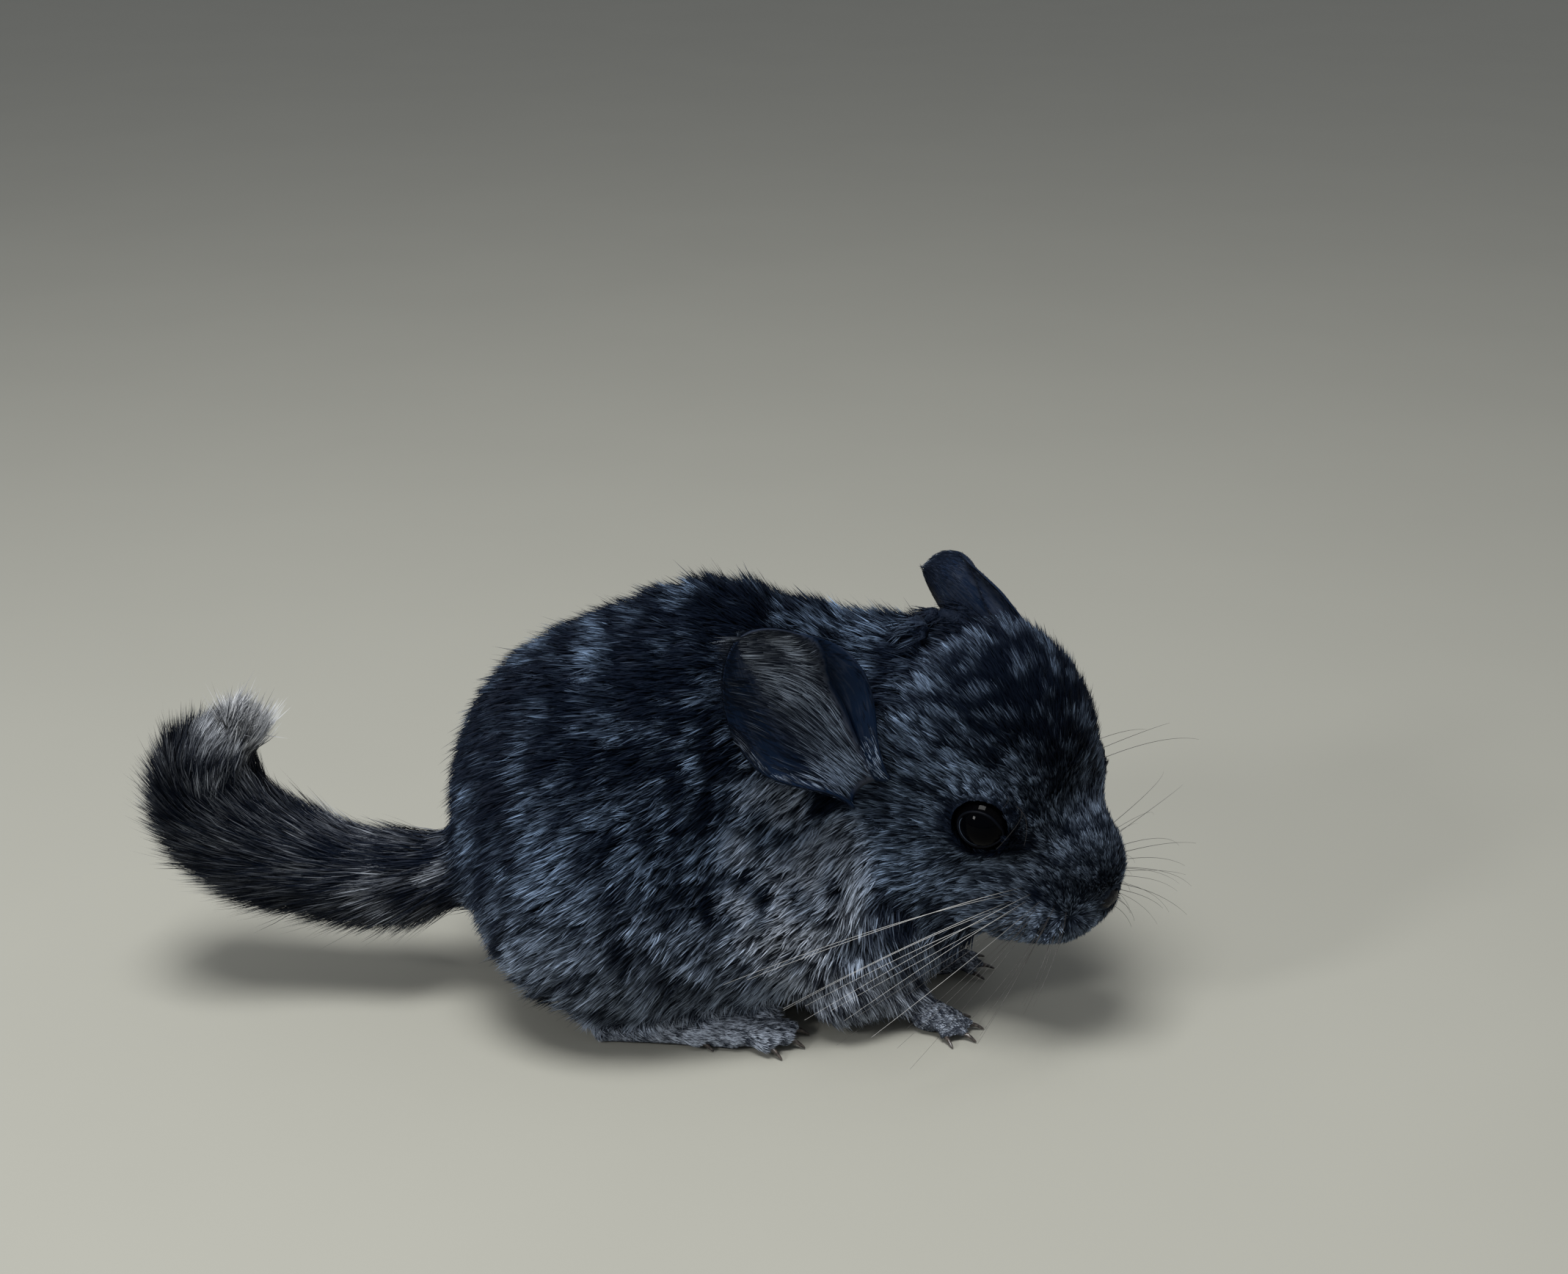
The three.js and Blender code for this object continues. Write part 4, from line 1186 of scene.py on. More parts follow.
@dataclass
class TuftTree(NodeHand):
    """A Geometry Nodes tree that grows one tapered blade at every point of a mesh."""

    name: str
    material: bpy.types.Material
    patch: float = 0.003

    def build(self) -> bpy.types.NodeTree:
        """Wires the tree.

        Returns:
            The tree, with its sizes as named inputs.
        """
        self.tree = bpy.data.node_groups.new(self.name, "GeometryNodeTree")
        face = self.tree.interface
        face.new_socket("Roots", in_out="INPUT", socket_type="NodeSocketGeometry")
        joints = face.new_socket("Joints", in_out="INPUT", socket_type="NodeSocketInt")
        joints.default_value = 4
        patch = face.new_socket("Patch", in_out="INPUT", socket_type="NodeSocketFloat")
        patch.default_value = self.patch
        face.new_socket("Tufts", in_out="OUTPUT", socket_type="NodeSocketGeometry")
        source = self.node("NodeGroupInput")
        blade = self._blade(source)
        grown = self._grown(source, blade)
        bent = self._bent(grown)
        mapped = self._mapped(source, bent)
        named = self.node(
            "GeometryNodeSetMaterial", {"Geometry": mapped, "Material": self.material}
        )
        rounded = self.node("GeometryNodeSetShadeSmooth", {"Geometry": named.outputs[0]})
        self.node("NodeGroupOutput", {0: rounded.outputs[0]})
        return self.tree

    def _named(self, name: str, kind: str = "FLOAT") -> object:
        """An attribute of the roots."""
        node = self.node("GeometryNodeInputNamedAttribute", {"Name": name}, data_type=kind)
        return node.outputs["Attribute"]

    def _kept(self, geometry: object, name: str, value: object, kind: str, domain: str) -> object:
        """The geometry with a value stored on it under a name."""
        node = self.node(
            "GeometryNodeStoreNamedAttribute",
            {"Geometry": geometry, "Name": name, "Value": value},
            data_type=kind,
            domain=domain,
        )
        return node.outputs[0]

    def _blade(self, source: bpy.types.Node) -> object:
        """A flat blade 1 long and 1 wide that narrows to a point."""
        grid = self.node(
            "GeometryNodeMeshGrid",
            {"Size X": 1.0, "Size Y": 1.0, "Vertices X": 2, "Vertices Y": source.outputs["Joints"]},
        )
        mapped = self._kept(grid.outputs[0], "patch", grid.outputs[1], "FLOAT_VECTOR", "CORNER")
        place = self.node("GeometryNodeInputPosition").outputs[0]
        parts = self.node("ShaderNodeSeparateXYZ", {0: place})
        along = self.sum("ADD", parts.outputs[1], 0.5)
        marked = self._kept(mapped, "along", along, "FLOAT", "POINT")
        taper = self.sum("SUBTRACT", 1.0, self.sum("POWER", along, 1.8))
        across = self.sum("MULTIPLY", parts.outputs[0], taper)
        shaped = self.node("ShaderNodeCombineXYZ", {0: across, 1: along, 2: 0.0})
        moved = self.node(
            "GeometryNodeSetPosition", {"Geometry": marked, "Position": shaped.outputs[0]}
        )
        return self.node("GeometryNodeMergeByDistance", {"Geometry": moved.outputs[0]}).outputs[0]

    def _grown(self, source: bpy.types.Node, blade: object) -> object:
        """A blade on each root, turned along its growth, as real mesh."""
        turn = self.node(
            "FunctionNodeAxesToRotation",
            {0: self._named("grow", "FLOAT_VECTOR"), 1: self._named("outside", "FLOAT_VECTOR")},
            primary_axis="Y",
            secondary_axis="Z",
        )
        size = self.node(
            "ShaderNodeCombineXYZ", {0: self._named("width"), 1: self._named("length"), 2: 1.0}
        )
        stand = self.node(
            "GeometryNodeInstanceOnPoints",
            {
                "Points": source.outputs["Roots"],
                "Instance": blade,
                "Rotation": turn.outputs[0],
                "Scale": size.outputs[0],
            },
        )
        return self.node("GeometryNodeRealizeInstances", {0: stand.outputs[0]}).outputs[0]

    def _bent(self, tufts: object) -> object:
        """The tufts curved towards the tips of their clumps."""
        share = self.sum("POWER", self._named("along"), 1.7)
        lean = self.node(
            "ShaderNodeVectorMath",
            {0: self._named("bend", "FLOAT_VECTOR"), "Scale": share},
            operation="SCALE",
        )
        moved = self.node(
            "GeometryNodeSetPosition", {"Geometry": tufts, "Offset": lean.outputs[0]}
        )
        return moved.outputs[0]

    def _mapped(self, source: bpy.types.Node, tufts: object) -> object:
        """The tufts with their patches on the skin's unwrap, and what isn't needed left off."""
        size = source.outputs["Patch"]
        scaled = self.node(
            "ShaderNodeVectorMath",
            {0: self._named("patch", "FLOAT_VECTOR"), "Scale": size},
            operation="SCALE",
        )
        place = self.node(
            "ShaderNodeVectorMath",
            {0: self._named("root_uv", "FLOAT_VECTOR"), 1: scaled.outputs[0]},
            operation="ADD",
        )
        mapped = self._kept(tufts, "OFBake", place.outputs[0], "FLOAT2", "CORNER")
        for name in ("patch", "root_uv", "grow", "outside", "bend", "width", "length"):
            mapped = self.node(
                "GeometryNodeRemoveAttribute", {"Geometry": mapped, "Name": name}
            ).outputs[0]
        return mapped


@dataclass
class Coat:
    """The tufts of the coat, in pieces small enough to keep whole."""

    anatomy: Anatomy
    skin: Skin
    tree: bpy.types.NodeTree
    seed: int = 4
    floor_gap: float = 0.2
    swing: float = 0.16
    lift_spread: float = 0.18
    length_spread: float = 0.16
    guard_share: float = 0.04
    guard_long: float = 1.3
    guard_thin: float = 0.6
    droop: float = 0.14
    roll: float = 0.55

    def build(self) -> list[bpy.types.Object]:
        """Grows every piece of the coat.

        Returns:
            The pieces.
        """
        random = np.random.default_rng(self.seed)
        pelage = Pelage(self.skin).measure()
        mesh = self.skin.object.data
        store(mesh, "tone", pelage["tone"])
        store(mesh, "warm", pelage["warm"])
        roots = self._rooted(pelage, random)
        self._clumped(roots, random)
        pieces = []
        for name, joints, chosen in self._pieces(roots):
            slot = "tail_coat" if "tail" in name else "face_coat" if "face" in name else "coat"
            part = {key: values[chosen] for key, values in roots.items()}
            pieces.append(grown(self.anatomy, name, joints, part, self.tree, slot))
        return pieces

    def _rooted(self, pelage: dict, random: np.random.Generator) -> dict[str, np.ndarray]:
        """Scatters roots over the skin, as dense as the coat is there."""
        skin = self.skin
        corners = np.vstack([skin.quads[:, [0, 1, 2]], skin.quads[:, [0, 2, 3]]])
        maps = np.vstack([skin.corner_uv[:, [0, 1, 2]], skin.corner_uv[:, [0, 2, 3]]])
        a, b, c = (skin.points[corners[:, i]] for i in range(3))
        area = np.linalg.norm(np.cross(b - a, c - a), axis=1) / 2
        expected = area * pelage["density"][corners].mean(axis=1)
        count = np.floor(expected + random.random(len(expected))).astype(int)
        chosen = np.repeat(np.arange(len(corners)), count)
        u, v = random.random((2, len(chosen)))
        fold = u + v > 1
        u, v = np.where(fold, 1 - u, u), np.where(fold, 1 - v, v)
        weights = np.stack([1 - u - v, u, v], axis=1)
        roots = {
            name: np.einsum("ij,ij...->i...", weights, values[corners[chosen]])
            for name, values in {**pelage, "root": skin.points}.items()
        }
        roots["root_uv"] = np.einsum("ij,ijk->ik", weights, maps[chosen])
        roots["part"] = skin.part[corners[chosen, 0]]
        return roots

    def _directed(self, roots: dict, random: np.random.Generator) -> tuple:
        """Gives each tuft its own lift, length and width, before its clump draws it in.

        Args:
            roots: What each root carries, by name; its widths are changed.
            random: What the tufts' differences are drawn from.

        Returns:
            The skin's normals, the ways across the tufts, the ways they grow, and their lengths.
        """
        count = len(roots["root"])
        normal = unit(roots["normal"])
        flow = along_surface(roots["flow"], normal)
        side = np.cross(normal, flow)
        swing = random.normal(0.0, self.swing, (count, 1))
        lift = np.radians(roots["lift"] * random.normal(1.0, self.lift_spread, count))[:, None]
        lift = np.clip(lift, 0.05, 1.3)
        grow = unit(flow + side * swing) * np.cos(lift) + normal * np.sin(lift)
        length = roots["length"] * np.clip(random.normal(1.0, self.length_spread, count), 0.5, 1.4)
        guard = random.random(count) < self.guard_share
        length = length * np.where(guard, self.guard_long, 1.0)
        thin = np.where(guard, self.guard_thin, random.uniform(0.75, 1.2, count))
        roots["width"] = roots["width"] * thin
        return normal, side, grow, length

    def _leaders(self, roots: dict, random: np.random.Generator) -> tuple[np.ndarray, np.ndarray]:
        """The tuft that leads each one's clump, and how far off it is as a share of the clump."""
        size = roots["clump"]
        pick = random.random(len(size)) < 1.0 / (roots["density"] * size**2 * 0.8)
        leaders = np.flatnonzero(pick)
        tree = kdtree.KDTree(len(leaders))
        for i, point in enumerate(roots["root"][leaders]):
            tree.insert(point, i)
        tree.balance()
        found = [tree.find(point) for point in roots["root"]]
        return leaders[[f[1] for f in found]], np.array([f[2] for f in found]) / size

    def _clumped(self, roots: dict, random: np.random.Generator) -> None:
        """Gives each tuft its direction, and draws its tip towards its clump's."""
        count = len(roots["root"])
        normal, side, grow, length = self._directed(roots, random)
        leader, apart = self._leaders(roots, random)
        tip = roots["root"] + grow * length[:, None]
        goal = roots["root"][leader] + unit(grow[leader]) * length[:, None]
        loose = 1.0 - smooth(apart, 1.0, 2.2)
        pull = (roots["pull"] * random.uniform(0.6, 1.25, count) * loose)[:, None]
        bend = (goal - tip) * pull - normal * (self.droop * length)[:, None]
        room = roots["root"][:, 2] - self.floor_gap
        grow[:, 2] = np.maximum(grow[:, 2], -room / length)
        bend[:, 2] = np.maximum(bend[:, 2], -room - grow[:, 2] * length)
        reach = np.linalg.norm(grow, axis=1)
        roots["bend"] = bend
        roots["grow"] = grow / reach[:, None]
        roots["length"] = length * reach
        outside = unit(side * random.normal(0, self.roll, (count, 1)) - np.cross(side, grow))
        roots["outside"] = outside * np.where(dot(outside, normal) < 0, -1.0, 1.0)
        own, shared = random.random(count), random.random(count)[leader]
        # Tufts towards the edge of their clump are darker: painted shade between the clumps, over
        # each tuft's own random tone.
        shade = mix(own, shared, 0.5) - 0.16 * smooth(apart, 0.3, 1.1)
        roots["shade"] = np.clip(shade, 0.0, 1.0)

    def _pieces(self, roots: dict) -> list[tuple[str, int, np.ndarray]]:
        """The coat's pieces: the name, the joints of a tuft and the roots of each."""
        part = roots["part"]
        x, y, z = roots["root"].T
        names = np.array([name.split("_")[0] for name in FLESH])[part]
        head = self.anatomy.head.into(roots["root"])
        on_head = np.isin(names, ["head", "lower", "whisker"])
        on_feet = np.isin(names, ["forefoot", "hindfoot", "foreleg"])
        tail = names == "tail"
        body = ~(on_head | on_feet | tail)
        left = y > 0
        front = x > -14
        face = on_head & (head[:, 0] > 4)
        skull = on_head & ~face
        return [
            ("coat_rump_left", 3, body & ~front & left),
            ("coat_rump_right", 3, body & ~front & ~left),
            ("coat_flank_left", 3, body & front & left),
            ("coat_flank_right", 3, body & front & ~left),
            ("coat_crown_left", 3, skull & (head[:, 1] > 0)),
            ("coat_crown_right", 3, skull & (head[:, 1] <= 0)),
            ("coat_face_left", 3, face & (head[:, 1] > 0)),
            ("coat_face_right", 3, face & (head[:, 1] <= 0)),
            ("coat_feet_left", 3, on_feet & left),
            ("coat_feet_right", 3, on_feet & ~left),
            ("coat_tail", 4, tail),
        ]


def grown(
    anatomy: Anatomy,
    name: str,
    joints: int,
    roots: dict[str, np.ndarray],
    tree: bpy.types.NodeTree,
    slot: str,
) -> bpy.types.Object:
    """One piece of the coat, grown and turned into plain mesh.

    Args:
        anatomy: Where things are.
        name: The piece's name.
        joints: How many points there are along a tuft.
        roots: What each tuft's root carries, by name.
        tree: The tree that grows the tufts.
        slot: Not used.

    Returns:
        The piece.
    """
    obj = new_object(name, anatomy.packed(roots["root"]), [])
    mesh = obj.data
    store(mesh, "root", anatomy.packed(roots["root"]))
    for key in ("bend", "length", "width"):
        store(mesh, key, roots[key] * MILLIMETRE)
    for key in ("grow", "outside", "tone", "warm", "shade"):
        store(mesh, key, roots[key])
    store(mesh, "root_uv", np.pad(roots["root_uv"], ((0, 0), (0, 1))))
    growth = obj.modifiers.new("tufts", "NODES")
    growth.node_group = tree
    growth[tree.interface.items_tree["Joints"].identifier] = joints
    settled(obj)
    return placed(obj, obj.data.materials[0])


# Eyes, nose, ears, claws and whiskers.


@dataclass
class Eye:
    """One eyeball, a little fuller over the cornea."""

    anatomy: Anatomy
    side: Side
    rings: int = 40
    sides: int = 56
    cornea: float = 0.35
    cornea_spread: float = 0.55

    def build(self, material: bpy.types.Material) -> bpy.types.Object:
        """Makes the eye."""
        head = self.anatomy.head
        axis = head.eye_axis(self.side)
        across = unit(np.cross(axis, UP))
        over = np.cross(axis, across)
        angles = np.linspace(0, math.pi, self.rings + 1)[1:-1]
        rounds = np.linspace(0, 2 * math.pi, self.sides, endpoint=False)
        radius = head.eye_radius + self.cornea * np.exp(-((angles / self.cornea_spread) ** 2))
        points = [head.eye(self.side) + axis * (head.eye_radius + self.cornea)]
        for angle, far in zip(angles, radius):
            ring = np.outer(np.cos(rounds), across) + np.outer(np.sin(rounds), over)
            way = axis * math.cos(angle) + ring * math.sin(angle)
            points.extend(head.eye(self.side) + far * way)
        points.append(head.eye(self.side) - axis * head.eye_radius)
        obj = new_object(
            f"eyeball_{self.side.word}",
            self.anatomy.packed(np.array(points)),
            ring_faces(len(angles), self.sides),
        )
        ring = np.concatenate([[0.0], np.repeat(angles / math.pi * 2, self.sides), [2.0]])
        store(obj.data, "ring", ring)
        outwards(obj)
        return placed(obj, material, (f"eye_{self.side.word}",))


@dataclass(frozen=True)
class LidFinish:
    """Dark wet skin at the edge of the lids, with a pale line where it meets the eye that is a
    painted reflection of the wet edge.
    """

    name: str = "lid_edge"
    dark: tuple = (0.0012, 0.0018, 0.0035, 1.0)
    # A painted reflection on the wet edge of the lower lid.
    pale: tuple = (0.035, 0.047, 0.068, 1.0)

    def material(self) -> bpy.types.Material:
        """The finish as nodes."""
        w = Wiring(self.name)
        grain = w.noise(w.object_place(), 0.3, 2.0)
        w.bump(grain, 0.05)
        # The pale attribute marks where the painted reflection lies.
        level = w.sum("MULTIPLY", w.attribute("pale"), w.ramp(grain, 0.2, 0.7, 0.6, 1.0))
        return w.dress(w.blend(level, self.dark, self.pale), 0.5, Specular_IOR_Level=0.05)


@dataclass
class LidEdge:
    """The rolled edge of one eye's lids, and the fine pale line inside the lower one, which is a
    painted reflection of the wet edge.
    """

    anatomy: Anatomy
    side: Side
    thick: float = 0.3
    inside: float = -1.2
    # The painted reflection inside the lower lid: its thickness, place and span.
    line_thick: float = 0.11
    line_inside: float = 3.6
    line_rise: float = 0.06
    line_span: tuple = (-2.35, 1.15)
    steps: int = 120
    sides: int = 10

    def _ring(
        self, inside: float, rise: float, thick: float, span: tuple
    ) -> tuple[np.ndarray, list]:
        """A closed tube that follows the lids' edge.

        Args:
            inside: How far inside the opening it runs, in degrees.
            rise: How far its middle stands over the eyeball.
            thick: Its radius.
            span: The angles round the eye between which it has its full thickness.

        Returns:
            Its points in the body's frame, and its faces.
        """
        head = self.anatomy.head
        axis, ahead, above = head.eye_frame(self.side)
        around = np.linspace(-math.pi, math.pi, self.steps, endpoint=False)
        opening = np.radians(head.lid_opening(around) - inside)[:, None]
        flat = ahead * np.cos(around)[:, None] + above * np.sin(around)[:, None]
        way = axis * np.cos(opening) + flat * np.sin(opening)
        in_lid = unit(flat * np.cos(opening) - axis * np.sin(opening))
        middle, half = span
        share = 1.0 - smooth(np.abs(wrapped(around - middle)), half - 0.3, half)
        size = (thick * share)[:, None, None]
        rounds = np.linspace(0, 2 * math.pi, self.sides, endpoint=False)[None, :, None]
        centre = (head.eye(self.side) + way * (head.eye_radius + rise))[:, None]
        tube = centre + size * (way[:, None] * np.cos(rounds) + in_lid[:, None] * np.sin(rounds))
        faces = []
        for i in range(self.steps):
            here, there = i * self.sides, (i + 1) % self.steps * self.sides
            for j in range(self.sides):
                k = (j + 1) % self.sides
                if share[i] + share[(i + 1) % self.steps] > 0:
                    faces.append((here + j, here + k, there + k, there + j))
        return tube.reshape(-1, 3), faces

    def build(self, material: bpy.types.Material) -> bpy.types.Object:
        """Makes the edge and the line of painted reflection as one mesh."""
        edge, edge_faces = self._ring(self.inside, 0.0, self.thick, (0.0, 2 * math.pi))
        line, glint_faces = self._ring(
            self.line_inside, self.line_rise, self.line_thick, self.line_span
        )
        faces = edge_faces + [tuple(len(edge) + i for i in face) for face in glint_faces]
        obj = new_object(
            f"lid_edge_{self.side.word}", self.anatomy.packed(np.vstack([edge, line])), faces
        )
        # Marks the painted reflection with 1 and the lid's edge with 0.
        store(obj.data, "pale", np.repeat([0.0, 1.0], [len(edge), len(line)]))
        tidy = bmesh.new()
        tidy.from_mesh(obj.data)
        bmesh.ops.remove_doubles(tidy, verts=tidy.verts, dist=1e-7)
        bmesh.ops.delete(tidy, geom=[v for v in tidy.verts if not v.link_faces], context="VERTS")
        bmesh.ops.recalc_face_normals(tidy, faces=tidy.faces)
        tidy.to_mesh(obj.data)
        tidy.free()
        return placed(obj, material)


def ring_faces(rings: int, sides: int) -> list[tuple]:
    """Faces over rings of points, closed by a fan at each end.

    Args:
        rings: How many rings there are between the first point and the last.
        sides: How many points each ring has.

    Returns:
        The faces.
    """
    faces = []
    last = 1 + rings * sides
    for s in range(sides):
        following = (s + 1) % sides
        faces.append((0, 1 + s, 1 + following))
        for r in range(rings - 1):
            here, there = 1 + r * sides, 1 + (r + 1) * sides
            faces.append((here + s, there + s, there + following, here + following))
        here = 1 + (rings - 1) * sides
        faces.append((here + s, last, here + following))
    return faces


def outwards(obj: bpy.types.Object) -> None:
    """Turns a closed mesh's faces outwards."""
    made = bmesh.new()
    made.from_mesh(obj.data)
    bmesh.ops.recalc_face_normals(made, faces=made.faces)
    made.to_mesh(obj.data)
    made.free()


@dataclass
class Nose:
    """The bare nose with its nostrils."""

    anatomy: Anatomy
    voxel: float = 0.22
    grow: float = 0.15
    nostril: tuple = (26.4, 2.1, -6.9)
    nostril_radii: tuple = (3.2, 0.95, 1.2)
    nostril_depth: float = 1.5
    groove_depth: float = 0.45

    def build(self, material: bpy.types.Material) -> bpy.types.Object:
        """Makes the nose from its packed form, finer and smoother."""
        form = merged_copy(self.anatomy.nodes["nose"], self.grow * MILLIMETRE)
        obj = joined([form], "nose_leather")
        cover = obj.modifiers.new("even", "REMESH")
        cover.mode = "VOXEL"
        cover.voxel_size = self.voxel * MILLIMETRE
        soften = obj.modifiers.new("soften", "SMOOTH")
        soften.iterations = 5
        soften.factor = 0.5
        settled(obj)
        self._press(obj.data)
        obj.data.shade_smooth()
        return placed(obj, material, ("nose",))

    def _press(self, mesh: bpy.types.Mesh) -> None:
        """Presses both nostrils and the groove between them into the front of the nose."""
        head = self.anatomy.head
        points = head.into(self.anatomy.own(vertex_array(mesh)))
        ahead = smooth(points[:, 0], 22.8, 24.4)
        for s in (1, -1):
            reach = (points - np.array(self.nostril) * (1, s, 1)) / np.array(self.nostril_radii)
            inside = 1.0 - smooth(np.linalg.norm(reach, axis=1), 0.35, 1.0)
            points[:, 0] -= self.nostril_depth * inside * ahead
        groove = np.exp(-((points[:, 1] / 0.35) ** 2)) * (1.0 - smooth(points[:, 2], -6.0, -4.5))
        points[:, 0] -= self.groove_depth * groove * ahead
        move_to(mesh, self.anatomy.packed(head.out(points)))


@dataclass
class Ear:
    """One ear: a thin cupped leaf whose front rim rolls back."""

    anatomy: Anatomy
    side: Side
    root: tuple
    tip: tuple
    opening: tuple
    length: float = 42.5
    width: float = 29.5
    thickness: float = 1.1
    tip_thickness: float = 0.55
    shag: float = 1.0
    root_width: float = 0.5
    root_wrap: float = 1.9
    wrap: float = 0.75
    ridge: float = 0.66
    roll: float = 3.6
    step_back: float = 1.9
    ribs: float = 0.25
    back_tone: float = 0.18
    steps: int = 48
    columns: int = 64

    def grid(self) -> tuple[np.ndarray, np.ndarray]:
        """The share of the way to the tip and the place across, over the whole leaf."""
        t = 0.995 * np.sin(np.linspace(0, 1, self.steps + 1) * math.pi / 2) ** 1.2
        return np.meshgrid(t, np.linspace(-1, 1, self.columns + 1), indexing="ij")

    def fold(self, t: np.ndarray) -> np.ndarray:
        """How far across the fold runs that parts the haired cup from the front rim."""
        return mix(0.42, 1.0, smooth(t, 0.45, 0.95))

    def paleness(self, t: np.ndarray, across: np.ndarray) -> np.ndarray:
        """How pale the inside of the ear is, from its haired cup to its dark margins, which hold
        painted shade: in the hollow of the cup's lower side and on the crescent beyond the fold.
        """
        # Painted shade on the crescent beyond the fold, under the rolled front rim.
        beyond = smooth(across, self.fold(t) - 0.02, self.fold(t) + 0.05)
        # The cup's lower side is darker: its own bare dark skin, deepened with painted shade of the
        # hollow.
        cup = smooth(across, -0.7, 0.2) * mix(1.0, 0.75, smooth(t, 0.8, 1.0))
        return mix(mix(0.0, 0.75, cup), 0.0, beyond)

    def _half_width(self, t: np.ndarray) -> np.ndarray:
        """Half of the leaf's width at a share of its length."""
        rise = mix(self.root_width, 1.0, smooth(t, 0.0, 0.5))
        fall = np.where(t < 0.5, 1.0, np.sqrt(np.maximum(0.0, 1 - ((t - 0.5) / 0.5) ** 2)))
        return self.width / 2 * rise * fall

    def _leaf(self, t: np.ndarray, across: np.ndarray) -> np.ndarray:
        """Points of the middle of the leaf, in the ear's own frame."""
        half = self._half_width(t)
        wrap = mix(self.root_wrap, self.wrap, smooth(t, 0.0, 0.45))
        radius = half / wrap
        angle = np.minimum(across, self.ridge) * wrap
        bend = np.sin(math.pi * t) - t
        x = radius * (1 - np.cos(angle)) - bend
        y = radius * np.sin(angle)
        past = np.maximum(across - self.ridge, 0.0)
        turn = past * half / self.roll
        share = 1 - smooth(t, 0.55, 0.95)
        on = self.roll * np.sin(turn)
        behind = self.roll * (1 - np.cos(turn)) * mix(-0.3, 1.0, share)
        x = x + on * np.sin(angle) - behind * np.cos(angle)
        depth = self.step_back * smooth(t, 0.02, 0.2) * (1 - smooth(t, 0.7, 0.95))
        x = x - depth * smooth(across, self.fold(t), self.fold(t) + 0.09)
        y = y + on * np.cos(angle) + behind * np.sin(angle)
        return np.stack([x, y, self.length * t], axis=-1)

    def frame(self) -> np.ndarray:
        """The ear's own axes in the head's frame: the way it opens, across, and to its tip."""
        tip = unit(np.array(self.tip))
        opening = np.array(self.opening)
        opening = unit(opening - tip * (opening @ tip))
        across = np.cross(tip, opening) * (1 if self.side is Side.RIGHT else -1)
        return np.stack([opening, across, tip], axis=1)

    def surface(self) -> tuple[np.ndarray, np.ndarray]:
        """The middle of the leaf and its normals, as a grid of points in the body's frame."""
        t, across = self.grid()
        leaf = self._leaf(t, across)
        along_rows = np.gradient(leaf, axis=1)
        up_rows = np.gradient(leaf, axis=0)
        normals = unit(np.cross(along_rows, up_rows))
        ribs = self.ribs * np.sin(across * 9.0 + 0.6) * np.sin(math.pi * t) * (1 - across**2)
        leaf = leaf + normals * ribs[..., None]
        turn = self.frame()
        head = self.anatomy.head
        places = head.out(leaf @ turn.T + np.array(self.root))
        return places, unit(head.way(normals @ turn.T))

    def build(self, material: bpy.types.Material) -> bpy.types.Object:
        """Makes the ear as a closed thin shell."""
        places, normals = self.surface()
        t = np.linspace(0, 1, self.steps + 1)[:, None, None]
        thick = mix(self.thickness, self.tip_thickness, t) / 2
        rim = np.linspace(-1, 1, self.columns + 1)[None, :, None]
        thick = thick * np.sqrt(np.maximum(0.05, 1 - rim**8))
        front, back = places + normals * thick, places - normals * thick
        loops = np.concatenate([front, back[:, ::-1]], axis=1)
        rows, sides = loops.shape[:2]
        points = loops.reshape(-1, 3)
        faces = []
        for r in range(rows - 1):
            for s in range(sides):
                following = (s + 1) % sides
                here, there = r * sides, (r + 1) * sides
                faces.append((here + s, here + following, there + following, there + s))
        last = (rows - 1) * sides
        for s in range(sides // 2 - 1):
            near, far = s, sides - 1 - s
            faces.append((near, near + 1, far - 1, far))
            faces.append((last + near, last + far, last + far - 1, last + near + 1))
        obj = new_object(f"pinna_{self.side.word}", self.anatomy.packed(points), faces)
        outwards(obj)
        self._mark(obj.data)
        return placed(obj, material, (f"ear_{self.side.word}",))

    def _mark(self, mesh: bpy.types.Mesh) -> None:
        """Puts the tone, the run of the nap and the map that the hair shares on the shell."""
        t, across = self.grid()
        inner = np.concatenate([np.ones_like(t), np.zeros_like(t)], axis=1).ravel()
        t, across = np.hstack([t, t]).ravel(), np.hstack([across, across[:, ::-1]]).ravel()
        # The inside's tone is the ear's paleness, with its painted shade.
        store(mesh, "tone", np.where(inner > 0, self.paleness(t, across), self.back_tone))
        nap = np.stack([across * self.width / 2, t * self.length / 9, 7 * inner], axis=1)
        store(mesh, "nap", nap * MILLIMETRE)
        places = ear_map(t, across, inner)[corner_vertices(mesh)]
        mesh.uv_layers.new(name="OFBake").data.foreach_set("uv", places.astype(np.float32).ravel())


def ear_map(t: np.ndarray, across: np.ndarray, inner: np.ndarray) -> np.ndarray:
    """Where places of an ear lie on its map: the inside on the left half, the back on the right."""
    return np.stack([0.75 - 0.5 * inner + 0.22 * across, 0.05 + 0.9 * t], axis=1)


